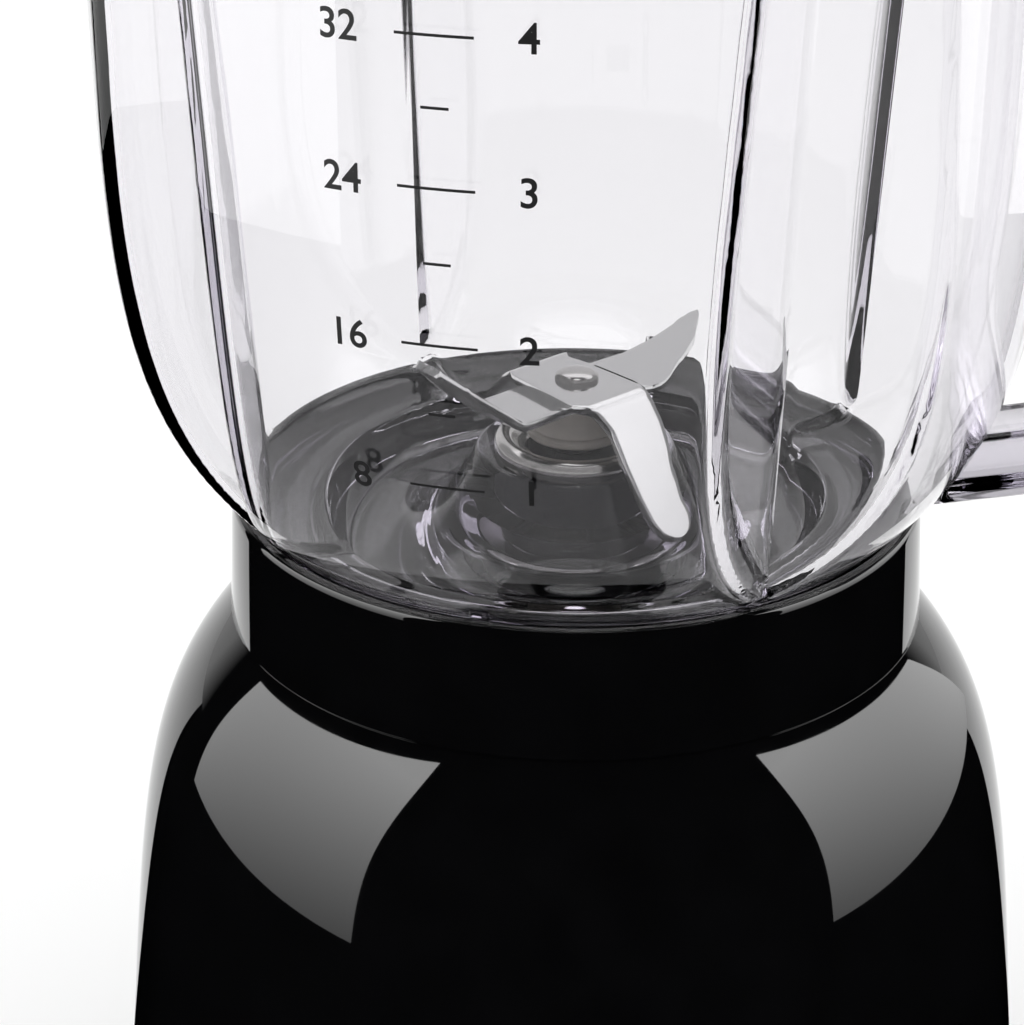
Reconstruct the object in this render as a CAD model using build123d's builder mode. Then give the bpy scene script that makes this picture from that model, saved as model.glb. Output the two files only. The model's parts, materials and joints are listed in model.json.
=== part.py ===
"""Countertop blender: motor base, clear fluted jug, blade unit, lid and filler cap.

Millimetres, +Z up. The origin is the middle of the base's underside, on the spin axis.
+X is the side of the jug with the handle. The base's front, with its buttons, is turned
from -Y towards +X by FRONT_TURN.
"""
from math import atan, cos, radians, sin, sqrt, tan
import os

from build123d import *

os.makedirs("parts", exist_ok=True)

# ---------------------------------------------------------------- driving dimensions
# base
SEAM_HEIGHT = 128.0           # top of the housing, where the collar sits
FOOT_HEIGHT = 4.0             # rubber feet below the housing
HOUSING_RADIUS = 72.1         # widest part of the housing
WIDEST_HEIGHT = 28.0          # height of that widest part
SHOULDER_RADIUS = 51.2        # housing radius at the seam
HOUSING_WALL = 3.0
TOP_HOLE_RADIUS = 24.0        # opening in the housing's top
FRONT_TURN = 57.0             # degrees from -Y towards +X
PLATE_THICKNESS = 3.0

# collar that holds the jug
COLLAR_HEIGHT = 19.2
COLLAR_RADIUS = 50.8          # at its upper edge
COLLAR_WALL = 1.9             # at its upper edge
COLLAR_FLOOR = 3.0
COUPLING_HOLE_RADIUS = 19.0
SPLASH_HEIGHT = 5.0

# button panel
PANEL_WIDTH = 36.0
PANEL_HEIGHT = 56.0
PANEL_MIDDLE = 49.0           # height of the panel's middle
PANEL_FACE = HOUSING_RADIUS + 0.7   # distance of its face from the spin axis
PANEL_DEPTH = 8.8
BUTTON_WIDTH = 24.0
BUTTON_HEIGHT = 11.0
BUTTON_PITCH = 15.5
BUTTON_PROUD = 1.6
BUTTON_TRAVEL = 1.8

# cord gland
GLAND_HEIGHT = 18.0
CORD_RADIUS = 3.5

# motor
SHAFT_RADIUS = 4.0
STACK_BOTTOM = 50.0
STACK_HEIGHT = 34.0
STATOR_RADIUS = 38.0
STATOR_FLATS = 70.0
ROTOR_RADIUS = 19.4
AIR_GAP = 0.6
ROTOR_SLOTS = 12
COMMUTATOR_RADIUS = 11.0
FAN_RADIUS = 32.0
FAN_BLADES = 10
BOLT_CIRCLE = 31.0

# jug
JUG_HEIGHT = 151.0            # rim above its lowest moulded curve
JUG_WALL = 2.8
JUG_RADIUS = 67.3             # on the straight part of the wall
RIM_RADIUS = 68.4
JUG_FLOOR = 3.0
FLUTE_COUNT = 4
VALLEY_RADIUS = 51.0          # at the floor
VALLEY_SLOPE = 0.075          # radius gained per millimetre of height
FLUTE_HALF_ANGLE = 58.0
VALLEY_ROUNDING = 1.0
RIM_BAND = 16.0               # plain band above the flutes
HUMP_RADIUS = 28.0            # where the central hump meets the trough's bottom
HUMP_TOP_RADIUS = 13.8
HUMP_HEIGHT = 6.8             # above the floor
TROUGH_RADIUS = 37.0          # outer edge of the trough round the hump
TROUGH_DEPTH = 5.0

# handle
HANDLE_REACH = 33.0           # from the wall to the middle of the grip
HANDLE_WIDTH = 17.0
HANDLE_THICKNESS = 9.5

# blade unit
BLADE_THICKNESS = 1.2
HUB_HEIGHT = 17.0             # upper blade above the jug's floor
CUP_RADIUS = 12.0
SPACER_RADIUS = 7.0
FLAT_ARM = 31.5
FOLD_REACH = 9.0

# lid
LID_THICKNESS = 3.2
LID_DEPTH = 12.0
CAP_RADIUS = 25.6

# clearances
PIECE_GAP = 0.4               # between pieces that move apart
RUNNING_FIT = 0.05            # radial, shaft in bearing
PANEL_FIT = 0.15
BUTTON_FIT = 0.35

# ---------------------------------------------------------------- dependent sizes
COLLAR_TOP = SEAM_HEIGHT + COLLAR_HEIGHT
SOCKET_FLOOR = SEAM_HEIGHT + COLLAR_FLOOR
JUG_START = COLLAR_TOP - 0.2                    # where the jug's outer curve starts
FLOOR_TOP = JUG_START - 1.0
FLOOR_UNDER = FLOOR_TOP - JUG_FLOOR
RIM_TOP = JUG_START + JUG_HEIGHT
MOUTH_RADIUS = COLLAR_RADIUS - COLLAR_WALL
JUG_START_RADIUS = MOUTH_RADIUS - PIECE_GAP
FOOT_RADIUS = JUG_START_RADIUS - 1.0
FOOT_BOTTOM = SOCKET_FLOOR + PIECE_GAP
STACK_TOP = STACK_BOTTOM + STACK_HEIGHT
HOUSING_BOTTOM = FOOT_HEIGHT
WALL_DIAGONAL = HOUSING_WALL / sqrt(2)
HUB_BOTTOM = FLOOR_TOP + HUB_HEIGHT - BLADE_THICKNESS
LOWER_BLADE_BOTTOM = HUB_BOTTOM - BLADE_THICKNESS
CUP_TOP = FLOOR_TOP + HUMP_HEIGHT + 1.6
FRONT_ANGLE = FRONT_TURN - 90.0                 # of the front, measured from +X

front = Plane(
    origin=(0, 0, 0),
    x_dir=(cos(radians(FRONT_TURN)), sin(radians(FRONT_TURN)), 0),
    z_dir=(sin(radians(FRONT_TURN)), -cos(radians(FRONT_TURN)), 0),
)
outward = Axis((0, 0, 0), (sin(radians(FRONT_TURN)), -cos(radians(FRONT_TURN)), 0))
rear = Plane(
    origin=(0, 0, 0),
    x_dir=(-cos(radians(FRONT_TURN)), -sin(radians(FRONT_TURN)), 0),
    z_dir=(-sin(radians(FRONT_TURN)), cos(radians(FRONT_TURN)), 0),
)

# ---------------------------------------------------------------- base housing
# The shoulder is one curve from the seam down to the widest part, the skirt another below it.
SHOULDER_OUT = 16.05
SHOULDER_CURVE = [
    (SHOULDER_RADIUS, SEAM_HEIGHT),
    (SHOULDER_RADIUS + SHOULDER_OUT, SEAM_HEIGHT - 17.6),
    (HOUSING_RADIUS - 6.1, WIDEST_HEIGHT + 69.8),
    (HOUSING_RADIUS, WIDEST_HEIGHT),
]
SKIRT_CURVE = [
    (HOUSING_RADIUS, WIDEST_HEIGHT),
    (HOUSING_RADIUS + 0.8, WIDEST_HEIGHT - 9.2),
    (HOUSING_RADIUS + 0.3, HOUSING_BOTTOM + 4),
    (HOUSING_RADIUS - 1.5, HOUSING_BOTTOM),
]
INNER_SHOULDER = [
    (SHOULDER_RADIUS - WALL_DIAGONAL, SEAM_HEIGHT - HOUSING_WALL),
    (SHOULDER_RADIUS + SHOULDER_OUT - WALL_DIAGONAL, SEAM_HEIGHT - 17.6 - WALL_DIAGONAL),
    (HOUSING_RADIUS - 6.1 - HOUSING_WALL, WIDEST_HEIGHT + 69.8),
    (HOUSING_RADIUS - HOUSING_WALL, WIDEST_HEIGHT),
]
INNER_BOTTOM_RADIUS = HOUSING_RADIUS - 1.5 - HOUSING_WALL
PLATE_TOP = HOUSING_BOTTOM + PLATE_THICKNESS
BOSS_CIRCLE = INNER_BOTTOM_RADIUS - 8.5
BOSS_HEIGHT = 15.0
MOUNT_CIRCLE = 32.0
BRACKET_TOP = STACK_TOP + 15.0
MOUNT_HEIGHT = 3.0


def at_angle(radius, angle):
    """A point on a circle, by its angle from +X in degrees."""
    return (radius * cos(radians(angle)), radius * sin(radians(angle)))


boss_angles = [FRONT_ANGLE + 45 + 90 * i for i in range(4)]
boss_spots = [at_angle(BOSS_CIRCLE, a) for a in boss_angles]
mount_spots = [at_angle(MOUNT_CIRCLE, 45 + 90 * i) for i in range(4)]

with BuildPart() as base_housing:
    with BuildSketch(Plane.XZ):
        with BuildLine():
            Bezier(*SHOULDER_CURVE)
            Bezier(*SKIRT_CURVE)
            Line((HOUSING_RADIUS - 1.5, HOUSING_BOTTOM), (INNER_BOTTOM_RADIUS, HOUSING_BOTTOM))
            Line((INNER_BOTTOM_RADIUS, HOUSING_BOTTOM), (HOUSING_RADIUS - HOUSING_WALL, WIDEST_HEIGHT))
            Bezier(*INNER_SHOULDER)
            Line(INNER_SHOULDER[0], (TOP_HOLE_RADIUS, SEAM_HEIGHT - HOUSING_WALL))
            Line((TOP_HOLE_RADIUS, SEAM_HEIGHT - HOUSING_WALL), (TOP_HOLE_RADIUS, SEAM_HEIGHT))
            Line((TOP_HOLE_RADIUS, SEAM_HEIGHT), (SHOULDER_RADIUS, SEAM_HEIGHT))
        make_face()
    revolve(axis=Axis.Z)
    # bosses for the base screws, each tied to the wall by a rib
    with BuildSketch(Plane.XY.offset(PLATE_TOP)):
        with Locations(*boss_spots):
            Circle(5.0)
        for angle in boss_angles:
            with Locations(Location((*at_angle(BOSS_CIRCLE + 6.0, angle), 0), (0, 0, angle))):
                Rectangle(7.0, 2.4)
    extrude(amount=BOSS_HEIGHT)
    with Locations(*[(x, y, PLATE_TOP) for x, y in boss_spots]):
        Cylinder(1.6, 12.0, align=(Align.CENTER, Align.CENTER, Align.MIN), mode=Mode.SUBTRACT)
    # posts that carry the motor
    with BuildSketch(Plane.XY.offset(BRACKET_TOP + MOUNT_HEIGHT)):
        with Locations(*mount_spots):
            Circle(5.0)
    extrude(amount=SEAM_HEIGHT - HOUSING_WALL - BRACKET_TOP - MOUNT_HEIGHT)
    # opening for the button panel
    with BuildSketch(front.offset(PANEL_FACE - 18)):
        with Locations((0, PANEL_MIDDLE)):
            RectangleRounded(PANEL_WIDTH + 2 * PANEL_FIT, PANEL_HEIGHT + 2 * PANEL_FIT, 5.0)
    extrude(amount=30, mode=Mode.SUBTRACT)
    # hole for the cord gland
    with BuildSketch(rear.offset(INNER_BOTTOM_RADIUS - 12)):
        with Locations((0, GLAND_HEIGHT)):
            Circle(CORD_RADIUS + 2.0)
    extrude(amount=30, mode=Mode.SUBTRACT)
    # holes for the collar's screws
    with Locations(*[(*at_angle(38.0, 90 + 120 * i), SEAM_HEIGHT) for i in range(3)]):
        Cylinder(1.8, 12.0, mode=Mode.SUBTRACT)
base_housing.part.label = "base_housing"
export_step(base_housing.part, "parts/base_housing.step")

# ---------------------------------------------------------------- base plate, feet, screws
FEET_CIRCLE = INNER_BOTTOM_RADIUS - 11.0
feet_spots = [at_angle(FEET_CIRCLE, FRONT_ANGLE + 90 * i) for i in range(4)]

with BuildPart() as base_plate:
    with BuildSketch(Plane.XY.offset(HOUSING_BOTTOM)):
        Circle(INNER_BOTTOM_RADIUS - PANEL_FIT)
        with PolarLocations(BOSS_CIRCLE, 4, FRONT_ANGLE + 45):
            Circle(1.8, mode=Mode.SUBTRACT)
        with PolarLocations(FEET_CIRCLE, 4, FRONT_ANGLE):
            Circle(3.0, mode=Mode.SUBTRACT)
        # air slots below the fan
        with PolarLocations(22.0, 16):
            SlotOverall(14.0, 3.2, mode=Mode.SUBTRACT)
    extrude(amount=PLATE_THICKNESS)
base_plate.part.label = "base_plate"
export_step(base_plate.part, "parts/base_plate.step")

with BuildPart() as rubber_feet:
    with BuildSketch(Plane.XY):
        with Locations(*feet_spots):
            Circle(8.5)
    extrude(amount=FOOT_HEIGHT)
    fillet(rubber_feet.edges().group_by(Axis.Z)[0], 1.0)
    with BuildSketch(Plane.XY.offset(FOOT_HEIGHT)):
        with Locations(*feet_spots):
            Circle(2.9)
    extrude(amount=PLATE_THICKNESS + 1.5)
rubber_feet.part.label = "rubber_feet"
export_step(rubber_feet.part, "parts/rubber_feet.step")

with BuildPart() as base_screws:
    with BuildSketch(Plane.XY.offset(HOUSING_BOTTOM - 1.8)):
        with Locations(*boss_spots):
            Circle(3.4)
    extrude(amount=1.8)
    with BuildSketch(Plane.XY.offset(HOUSING_BOTTOM)):
        with Locations(*boss_spots):
            Circle(1.5)
    extrude(amount=PLATE_THICKNESS + 11.0)
    with BuildSketch(Plane.XY.offset(HOUSING_BOTTOM - 1.8)):
        for angle, (x, y) in zip(boss_angles, boss_spots):
            with Locations((x, y)):
                Rectangle(3.6, 0.8)
                Rectangle(0.8, 3.6)
    extrude(amount=1.0, mode=Mode.SUBTRACT)
base_screws.part.label = "base_screws"
export_step(base_screws.part, "parts/base_screws.step")

with BuildPart() as cord_gland:
    with BuildSketch(rear.offset(HOUSING_RADIUS + 0.4)):
        with Locations((0, GLAND_HEIGHT)):
            Circle(CORD_RADIUS + 4.0)
    extrude(amount=2.4)
    with BuildSketch(rear.offset(HOUSING_RADIUS - 9.0)):
        with Locations((0, GLAND_HEIGHT)):
            Circle(CORD_RADIUS + 1.9)
    extrude(amount=9.6)
    with BuildSketch(rear.offset(HOUSING_RADIUS - 9.0)):
        with Locations((0, GLAND_HEIGHT)):
            Circle(CORD_RADIUS)
    extrude(amount=20.0, mode=Mode.SUBTRACT)
cord_gland.part.label = "cord_gland"
export_step(cord_gland.part, "parts/cord_gland.step")

# ---------------------------------------------------------------- collar
with BuildPart() as collar:
    with BuildSketch(Plane.XZ):
        with BuildLine():
            Polyline(
                (COUPLING_HOLE_RADIUS, SEAM_HEIGHT),
                (COLLAR_RADIUS + 0.8, SEAM_HEIGHT),
                (COLLAR_RADIUS, COLLAR_TOP - 1.2),
                (COLLAR_RADIUS - 0.9, COLLAR_TOP),
                (MOUTH_RADIUS + 0.3, COLLAR_TOP),
                (MOUTH_RADIUS, COLLAR_TOP - 0.6),
                (MOUTH_RADIUS - 0.6, COLLAR_TOP - 3.0),
                (MOUTH_RADIUS - 0.6, SOCKET_FLOOR),
                (COUPLING_HOLE_RADIUS + 2.4, SOCKET_FLOOR),
                (COUPLING_HOLE_RADIUS + 2.4, SOCKET_FLOOR + SPLASH_HEIGHT),
                (COUPLING_HOLE_RADIUS, SOCKET_FLOOR + SPLASH_HEIGHT),
                close=True,
            )
        make_face()
    revolve(axis=Axis.Z)
    # pilot holes for the screws from below
    with Locations(*[(*at_angle(38.0, 90 + 120 * i), SEAM_HEIGHT) for i in range(3)]):
        Cylinder(1.5, 4.4, mode=Mode.SUBTRACT)
collar.part.label = "collar"
export_step(collar.part, "parts/collar.step")

with BuildPart() as collar_screws:
    with Locations(*[(*at_angle(38.0, 90 + 120 * i), SEAM_HEIGHT - HOUSING_WALL) for i in range(3)]):
        Cylinder(1.4, 5.0, align=(Align.CENTER, Align.CENTER, Align.MIN))
        Cylinder(3.2, 1.8, align=(Align.CENTER, Align.CENTER, Align.MAX))
collar_screws.part.label = "collar_screws"
export_step(collar_screws.part, "parts/collar_screws.step")

# ---------------------------------------------------------------- button panel
PANEL_BACK = PANEL_FACE - PANEL_DEPTH
FLANGE_THICKNESS = 1.6
FLANGE_FRONT = PANEL_BACK - 0.3
SWITCH_TOP = FLANGE_FRONT - FLANGE_THICKNESS - BUTTON_TRAVEL - PIECE_GAP
BOARD_FRONT = SWITCH_TOP - 9.0
button_heights = {
    "button_low": PANEL_MIDDLE - BUTTON_PITCH,
    "button_high": PANEL_MIDDLE,
    "button_pulse": PANEL_MIDDLE + BUTTON_PITCH,
}
post_spots = [(x * 14.9, PANEL_MIDDLE + y * 25.0) for x in (-1, 1) for y in (-1, 1)]

with BuildPart() as button_bezel:
    with BuildSketch(front.offset(PANEL_BACK)):
        with Locations((0, PANEL_MIDDLE)):
            RectangleRounded(PANEL_WIDTH, PANEL_HEIGHT, 5.0)
    extrude(amount=PANEL_DEPTH)
    fillet(button_bezel.faces().sort_by(outward)[-1].edges(), 1.6)
    with BuildSketch(front.offset(PANEL_BACK - 1)):
        with Locations(*[(0, h) for h in button_heights.values()]):
            RectangleRounded(BUTTON_WIDTH + 2 * BUTTON_FIT, BUTTON_HEIGHT + 2 * BUTTON_FIT, 4.0)
    extrude(amount=PANEL_DEPTH + 2, mode=Mode.SUBTRACT)
    # posts that hold the circuit board
    with BuildSketch(front.offset(BOARD_FRONT)):
        with Locations(*post_spots):
            Circle(2.2)
    extrude(amount=PANEL_BACK - BOARD_FRONT)
button_bezel.part.label = "button_bezel"
export_step(button_bezel.part, "parts/button_bezel.step")

for button_name, height in button_heights.items():
    with BuildPart() as button:
        with BuildSketch(front.offset(FLANGE_FRONT - FLANGE_THICKNESS)):
            with Locations((0, height)):
                RectangleRounded(BUTTON_WIDTH + 2.6, BUTTON_HEIGHT + 2.6, 4.0)
        extrude(amount=FLANGE_THICKNESS)
        with BuildSketch(front.offset(FLANGE_FRONT)):
            with Locations((0, height)):
                RectangleRounded(BUTTON_WIDTH, BUTTON_HEIGHT, 3.6)
        extrude(amount=PANEL_FACE + BUTTON_PROUD - FLANGE_FRONT)
        fillet(button.faces().sort_by(outward)[-1].edges(), 1.2)
    button.part.label = button_name
    export_step(button.part, "parts/" + button_name + ".step")

with BuildPart() as switches:
    with BuildSketch(front.offset(BOARD_FRONT)):
        with Locations(*[(0, h) for h in button_heights.values()]):
            Rectangle(12.0, 12.0)
    extrude(amount=5.5)
    with BuildSketch(front.offset(BOARD_FRONT + 5.5)):
        with Locations(*[(0, h) for h in button_heights.values()]):
            Circle(3.0)
    extrude(amount=SWITCH_TOP - BOARD_FRONT - 5.5)
switches.part.label = "switches"
export_step(switches.part, "parts/switches.step")

with BuildPart() as circuit_board:
    with BuildSketch(front.offset(BOARD_FRONT - 1.6)):
        with Locations((0, PANEL_MIDDLE)):
            Rectangle(PANEL_WIDTH - 1, PANEL_HEIGHT - 1)
    extrude(amount=1.6)
circuit_board.part.label = "circuit_board"
export_step(circuit_board.part, "parts/circuit_board.step")

# ---------------------------------------------------------------- motor: what stands still
WINDOW_CIRCLE = 27.5
WINDOW_RADIUS = 5.8
COIL_INNER = ROTOR_RADIUS + 2.2
COIL_OUTER = WINDOW_CIRCLE + WINDOW_RADIUS + 0.6
COIL_HEIGHT = 7.0
COIL_PARTING = 25.0            # gap between the two coils
LOWER_BRACKET = STACK_BOTTOM - 26.0
BRACKET_THICKNESS = 4.5
UPPER_BRACKET = BRACKET_TOP - BRACKET_THICKNESS
BEARING_RADIUS = 9.0
BEARING_HEIGHT = 7.0
HUB_RADIUS = 12.5
SHAFT_BOTTOM = PLATE_TOP + 1.5
bolt_spots = [(0, BOLT_CIRCLE), (0, -BOLT_CIRCLE)]

with BuildPart() as stator_core:
    with BuildSketch(Plane.XY.offset(STACK_BOTTOM)):
        Circle(STATOR_RADIUS)
        Rectangle(STATOR_FLATS, 3 * STATOR_RADIUS, mode=Mode.INTERSECT)
        Circle(ROTOR_RADIUS + AIR_GAP, mode=Mode.SUBTRACT)
        with PolarLocations(WINDOW_CIRCLE, 4, 45):
            Circle(WINDOW_RADIUS, mode=Mode.SUBTRACT)
        with Locations(*bolt_spots):
            Circle(2.3, mode=Mode.SUBTRACT)
    extrude(amount=STACK_HEIGHT)
stator_core.part.label = "stator_core"
export_step(stator_core.part, "parts/stator_core.step")

with BuildPart() as field_coils:
    for level in (STACK_BOTTOM - COIL_HEIGHT, STACK_TOP):
        with BuildSketch(Plane.XY.offset(level)):
            Circle(COIL_OUTER)
            Circle(COIL_INNER, mode=Mode.SUBTRACT)
            Rectangle(COIL_PARTING, 3 * COIL_OUTER, mode=Mode.SUBTRACT)
        extrude(amount=COIL_HEIGHT)
    with BuildSketch(Plane.XY.offset(STACK_BOTTOM)):
        with PolarLocations(WINDOW_CIRCLE, 4, 45):
            Circle(WINDOW_RADIUS - 0.6)
    extrude(amount=STACK_HEIGHT)
field_coils.part.label = "field_coils"
export_step(field_coils.part, "parts/field_coils.step")

with BuildPart() as lower_bracket:
    with BuildSketch(Plane.XY.offset(LOWER_BRACKET)):
        Circle(STATOR_RADIUS - 1)
        Circle(BEARING_RADIUS, mode=Mode.SUBTRACT)
        with PolarLocations(22.0, 6, 30):
            Circle(4.5, mode=Mode.SUBTRACT)
        with Locations(*bolt_spots):
            Circle(2.3, mode=Mode.SUBTRACT)
    extrude(amount=BRACKET_THICKNESS)
    with BuildSketch(Plane.XY.offset(LOWER_BRACKET + BRACKET_THICKNESS)):
        with Locations(*bolt_spots):
            Circle(5.0)
            Circle(2.3, mode=Mode.SUBTRACT)
    extrude(amount=STACK_BOTTOM - LOWER_BRACKET - BRACKET_THICKNESS)
    with BuildSketch(Plane.XY.offset(LOWER_BRACKET + BRACKET_THICKNESS - BEARING_HEIGHT)):
        Circle(HUB_RADIUS)
        Circle(BEARING_RADIUS, mode=Mode.SUBTRACT)
    extrude(amount=BEARING_HEIGHT - BRACKET_THICKNESS)
lower_bracket.part.label = "lower_bracket"
export_step(lower_bracket.part, "parts/lower_bracket.step")

with BuildPart() as upper_bracket:
    with BuildSketch(Plane.XY.offset(UPPER_BRACKET)):
        Circle(MOUNT_CIRCLE + 6)
        Circle(BEARING_RADIUS, mode=Mode.SUBTRACT)
        with PolarLocations(22.0, 6, 30):
            Circle(4.5, mode=Mode.SUBTRACT)
        with Locations(*bolt_spots):
            Circle(2.3, mode=Mode.SUBTRACT)
    extrude(amount=BRACKET_THICKNESS)
    with BuildSketch(Plane.XY.offset(STACK_TOP)):
        with Locations(*bolt_spots):
            Circle(5.0)
            Circle(2.3, mode=Mode.SUBTRACT)
    extrude(amount=UPPER_BRACKET - STACK_TOP)
    with BuildSketch(Plane.XY.offset(BRACKET_TOP)):
        Circle(HUB_RADIUS)
        Circle(BEARING_RADIUS, mode=Mode.SUBTRACT)
    extrude(amount=BEARING_HEIGHT - BRACKET_THICKNESS)
upper_bracket.part.label = "upper_bracket"
export_step(upper_bracket.part, "parts/upper_bracket.step")

bearing_bottoms = {
    "lower_bearing": LOWER_BRACKET + BRACKET_THICKNESS - BEARING_HEIGHT,
    "upper_bearing": UPPER_BRACKET,
}
for bearing_name, level in bearing_bottoms.items():
    with BuildPart() as bearing:
        with BuildSketch(Plane.XY.offset(level)):
            Circle(BEARING_RADIUS)
            Circle(SHAFT_RADIUS + RUNNING_FIT, mode=Mode.SUBTRACT)
        extrude(amount=BEARING_HEIGHT)
    bearing.part.label = bearing_name
    export_step(bearing.part, "parts/" + bearing_name + ".step")

with BuildPart() as bracket_bolts:
    with BuildSketch(Plane.XY.offset(LOWER_BRACKET)):
        with Locations(*bolt_spots):
            Circle(2.0)
    extrude(amount=BRACKET_TOP - LOWER_BRACKET)
    with BuildSketch(Plane.XY.offset(BRACKET_TOP)):
        with Locations(*bolt_spots):
            RegularPolygon(4.0, 6)
    extrude(amount=3.0)
    with BuildSketch(Plane.XY.offset(LOWER_BRACKET - 3.0)):
        with Locations(*bolt_spots):
            RegularPolygon(4.0, 6)
    extrude(amount=3.0)
bracket_bolts.part.label = "bracket_bolts"
export_step(bracket_bolts.part, "parts/bracket_bolts.step")

with BuildPart() as motor_mounts:
    with BuildSketch(Plane.XY.offset(BRACKET_TOP)):
        with Locations(*mount_spots):
            Circle(5.6)
    extrude(amount=MOUNT_HEIGHT)
motor_mounts.part.label = "motor_mounts"
export_step(motor_mounts.part, "parts/motor_mounts.step")

HOLDER_BOTTOM = LOWER_BRACKET + BRACKET_THICKNESS
HOLDER_TOP = STACK_BOTTOM - COIL_HEIGHT - 1.5
BRUSH_MIDDLE = (HOLDER_BOTTOM + HOLDER_TOP) / 2
BRUSH_SIDE = 6.6
BRUSH_TIP = COMMUTATOR_RADIUS + PIECE_GAP
with BuildPart() as brush_holders:
    with BuildSketch(Plane.XY.offset(HOLDER_BOTTOM)):
        with PolarLocations(COMMUTATOR_RADIUS + 11.5, 2):
            Rectangle(17.0, BRUSH_SIDE + 4.4)
    extrude(amount=HOLDER_TOP - HOLDER_BOTTOM)
    with BuildSketch(Plane.YZ):
        with Locations((0, BRUSH_MIDDLE)):
            Rectangle(BRUSH_SIDE + 0.4, BRUSH_SIDE + 0.4)
    extrude(amount=50, both=True, mode=Mode.SUBTRACT)
brush_holders.part.label = "brush_holders"
export_step(brush_holders.part, "parts/brush_holders.step")

with BuildPart() as carbon_brushes:
    with Locations(*[(side * (BRUSH_TIP + 7.5), 0, BRUSH_MIDDLE) for side in (-1, 1)]):
        Box(15.0, BRUSH_SIDE, BRUSH_SIDE)
carbon_brushes.part.label = "carbon_brushes"
export_step(carbon_brushes.part, "parts/carbon_brushes.step")

# ---------------------------------------------------------------- motor: what turns
SLOT_WIDTH = 2.4
SLOT_BOTTOM = 9.0
WINDING_RADIUS = 17.4
WINDING_HEIGHT = 6.4
DRIVE_TOP = SOCKET_FLOOR + SPLASH_HEIGHT
DRIVE_DISC = SEAM_HEIGHT - 1.0
DRIVE_DISC_HEIGHT = 2.5
STAR_RADIUS = 10.5
STAR_ROOT = 7.5
STAR_POINTS = 6
MOTOR_SHAFT_TOP = DRIVE_TOP - 2.5

with BuildPart() as motor_shaft:
    with BuildSketch(Plane.XY.offset(SHAFT_BOTTOM)):
        Circle(SHAFT_RADIUS)
    extrude(amount=MOTOR_SHAFT_TOP - SHAFT_BOTTOM)
    chamfer(motor_shaft.edges().filter_by(GeomType.CIRCLE), 0.5)
motor_shaft.part.label = "motor_shaft"
export_step(motor_shaft.part, "parts/motor_shaft.step")

with BuildPart() as rotor_core:
    with BuildSketch(Plane.XY.offset(STACK_BOTTOM)):
        Circle(ROTOR_RADIUS)
        Circle(SHAFT_RADIUS, mode=Mode.SUBTRACT)
        with PolarLocations(SLOT_BOTTOM + 10, ROTOR_SLOTS):
            Rectangle(20.0, SLOT_WIDTH, mode=Mode.SUBTRACT)
    extrude(amount=STACK_HEIGHT)
rotor_core.part.label = "rotor_core"
export_step(rotor_core.part, "parts/rotor_core.step")

with BuildPart() as rotor_windings:
    for level in (STACK_BOTTOM - WINDING_HEIGHT, STACK_TOP):
        with BuildSketch(Plane.XY.offset(level)):
            Circle(WINDING_RADIUS)
            Circle(SHAFT_RADIUS + 1.5, mode=Mode.SUBTRACT)
        extrude(amount=WINDING_HEIGHT)
    with BuildSketch(Plane.XY.offset(STACK_BOTTOM)):
        with PolarLocations((SLOT_BOTTOM + WINDING_RADIUS) / 2 + 0.3, ROTOR_SLOTS):
            Rectangle(WINDING_RADIUS - SLOT_BOTTOM - 0.6, SLOT_WIDTH - 0.2)
    extrude(amount=STACK_HEIGHT)
rotor_windings.part.label = "rotor_windings"
export_step(rotor_windings.part, "parts/rotor_windings.step")

with BuildPart() as commutator:
    with BuildSketch(Plane.XY.offset(HOLDER_BOTTOM + 1.5)):
        Circle(COMMUTATOR_RADIUS)
        Circle(SHAFT_RADIUS, mode=Mode.SUBTRACT)
        with PolarLocations(COMMUTATOR_RADIUS, 2 * ROTOR_SLOTS):
            Rectangle(1.6, 0.5, mode=Mode.SUBTRACT)
    extrude(amount=STACK_BOTTOM - WINDING_HEIGHT - HOLDER_BOTTOM - 2.0)
commutator.part.label = "commutator"
export_step(commutator.part, "parts/commutator.step")

FAN_BOTTOM = SHAFT_BOTTOM + 1.0
FAN_TOP = LOWER_BRACKET + BRACKET_THICKNESS - BEARING_HEIGHT - 1.0
with BuildPart() as cooling_fan:
    with BuildSketch(Plane.XY.offset(FAN_BOTTOM)):
        Circle(7.5)
        Circle(SHAFT_RADIUS, mode=Mode.SUBTRACT)
    extrude(amount=FAN_TOP - FAN_BOTTOM)
    with BuildSketch(Plane.XY.offset(FAN_TOP - 1.6)):
        Circle(FAN_RADIUS)
        Circle(SHAFT_RADIUS, mode=Mode.SUBTRACT)
    extrude(amount=1.6)
    with BuildSketch(Plane.XY.offset(FAN_BOTTOM)):
        with PolarLocations((FAN_RADIUS + 7) / 2, FAN_BLADES):
            Rectangle(FAN_RADIUS - 7.2, 1.4, rotation=18)
        Circle(FAN_RADIUS, mode=Mode.INTERSECT)
        Circle(SHAFT_RADIUS, mode=Mode.SUBTRACT)
    extrude(amount=FAN_TOP - FAN_BOTTOM)
cooling_fan.part.label = "cooling_fan"
export_step(cooling_fan.part, "parts/cooling_fan.step")

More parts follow.
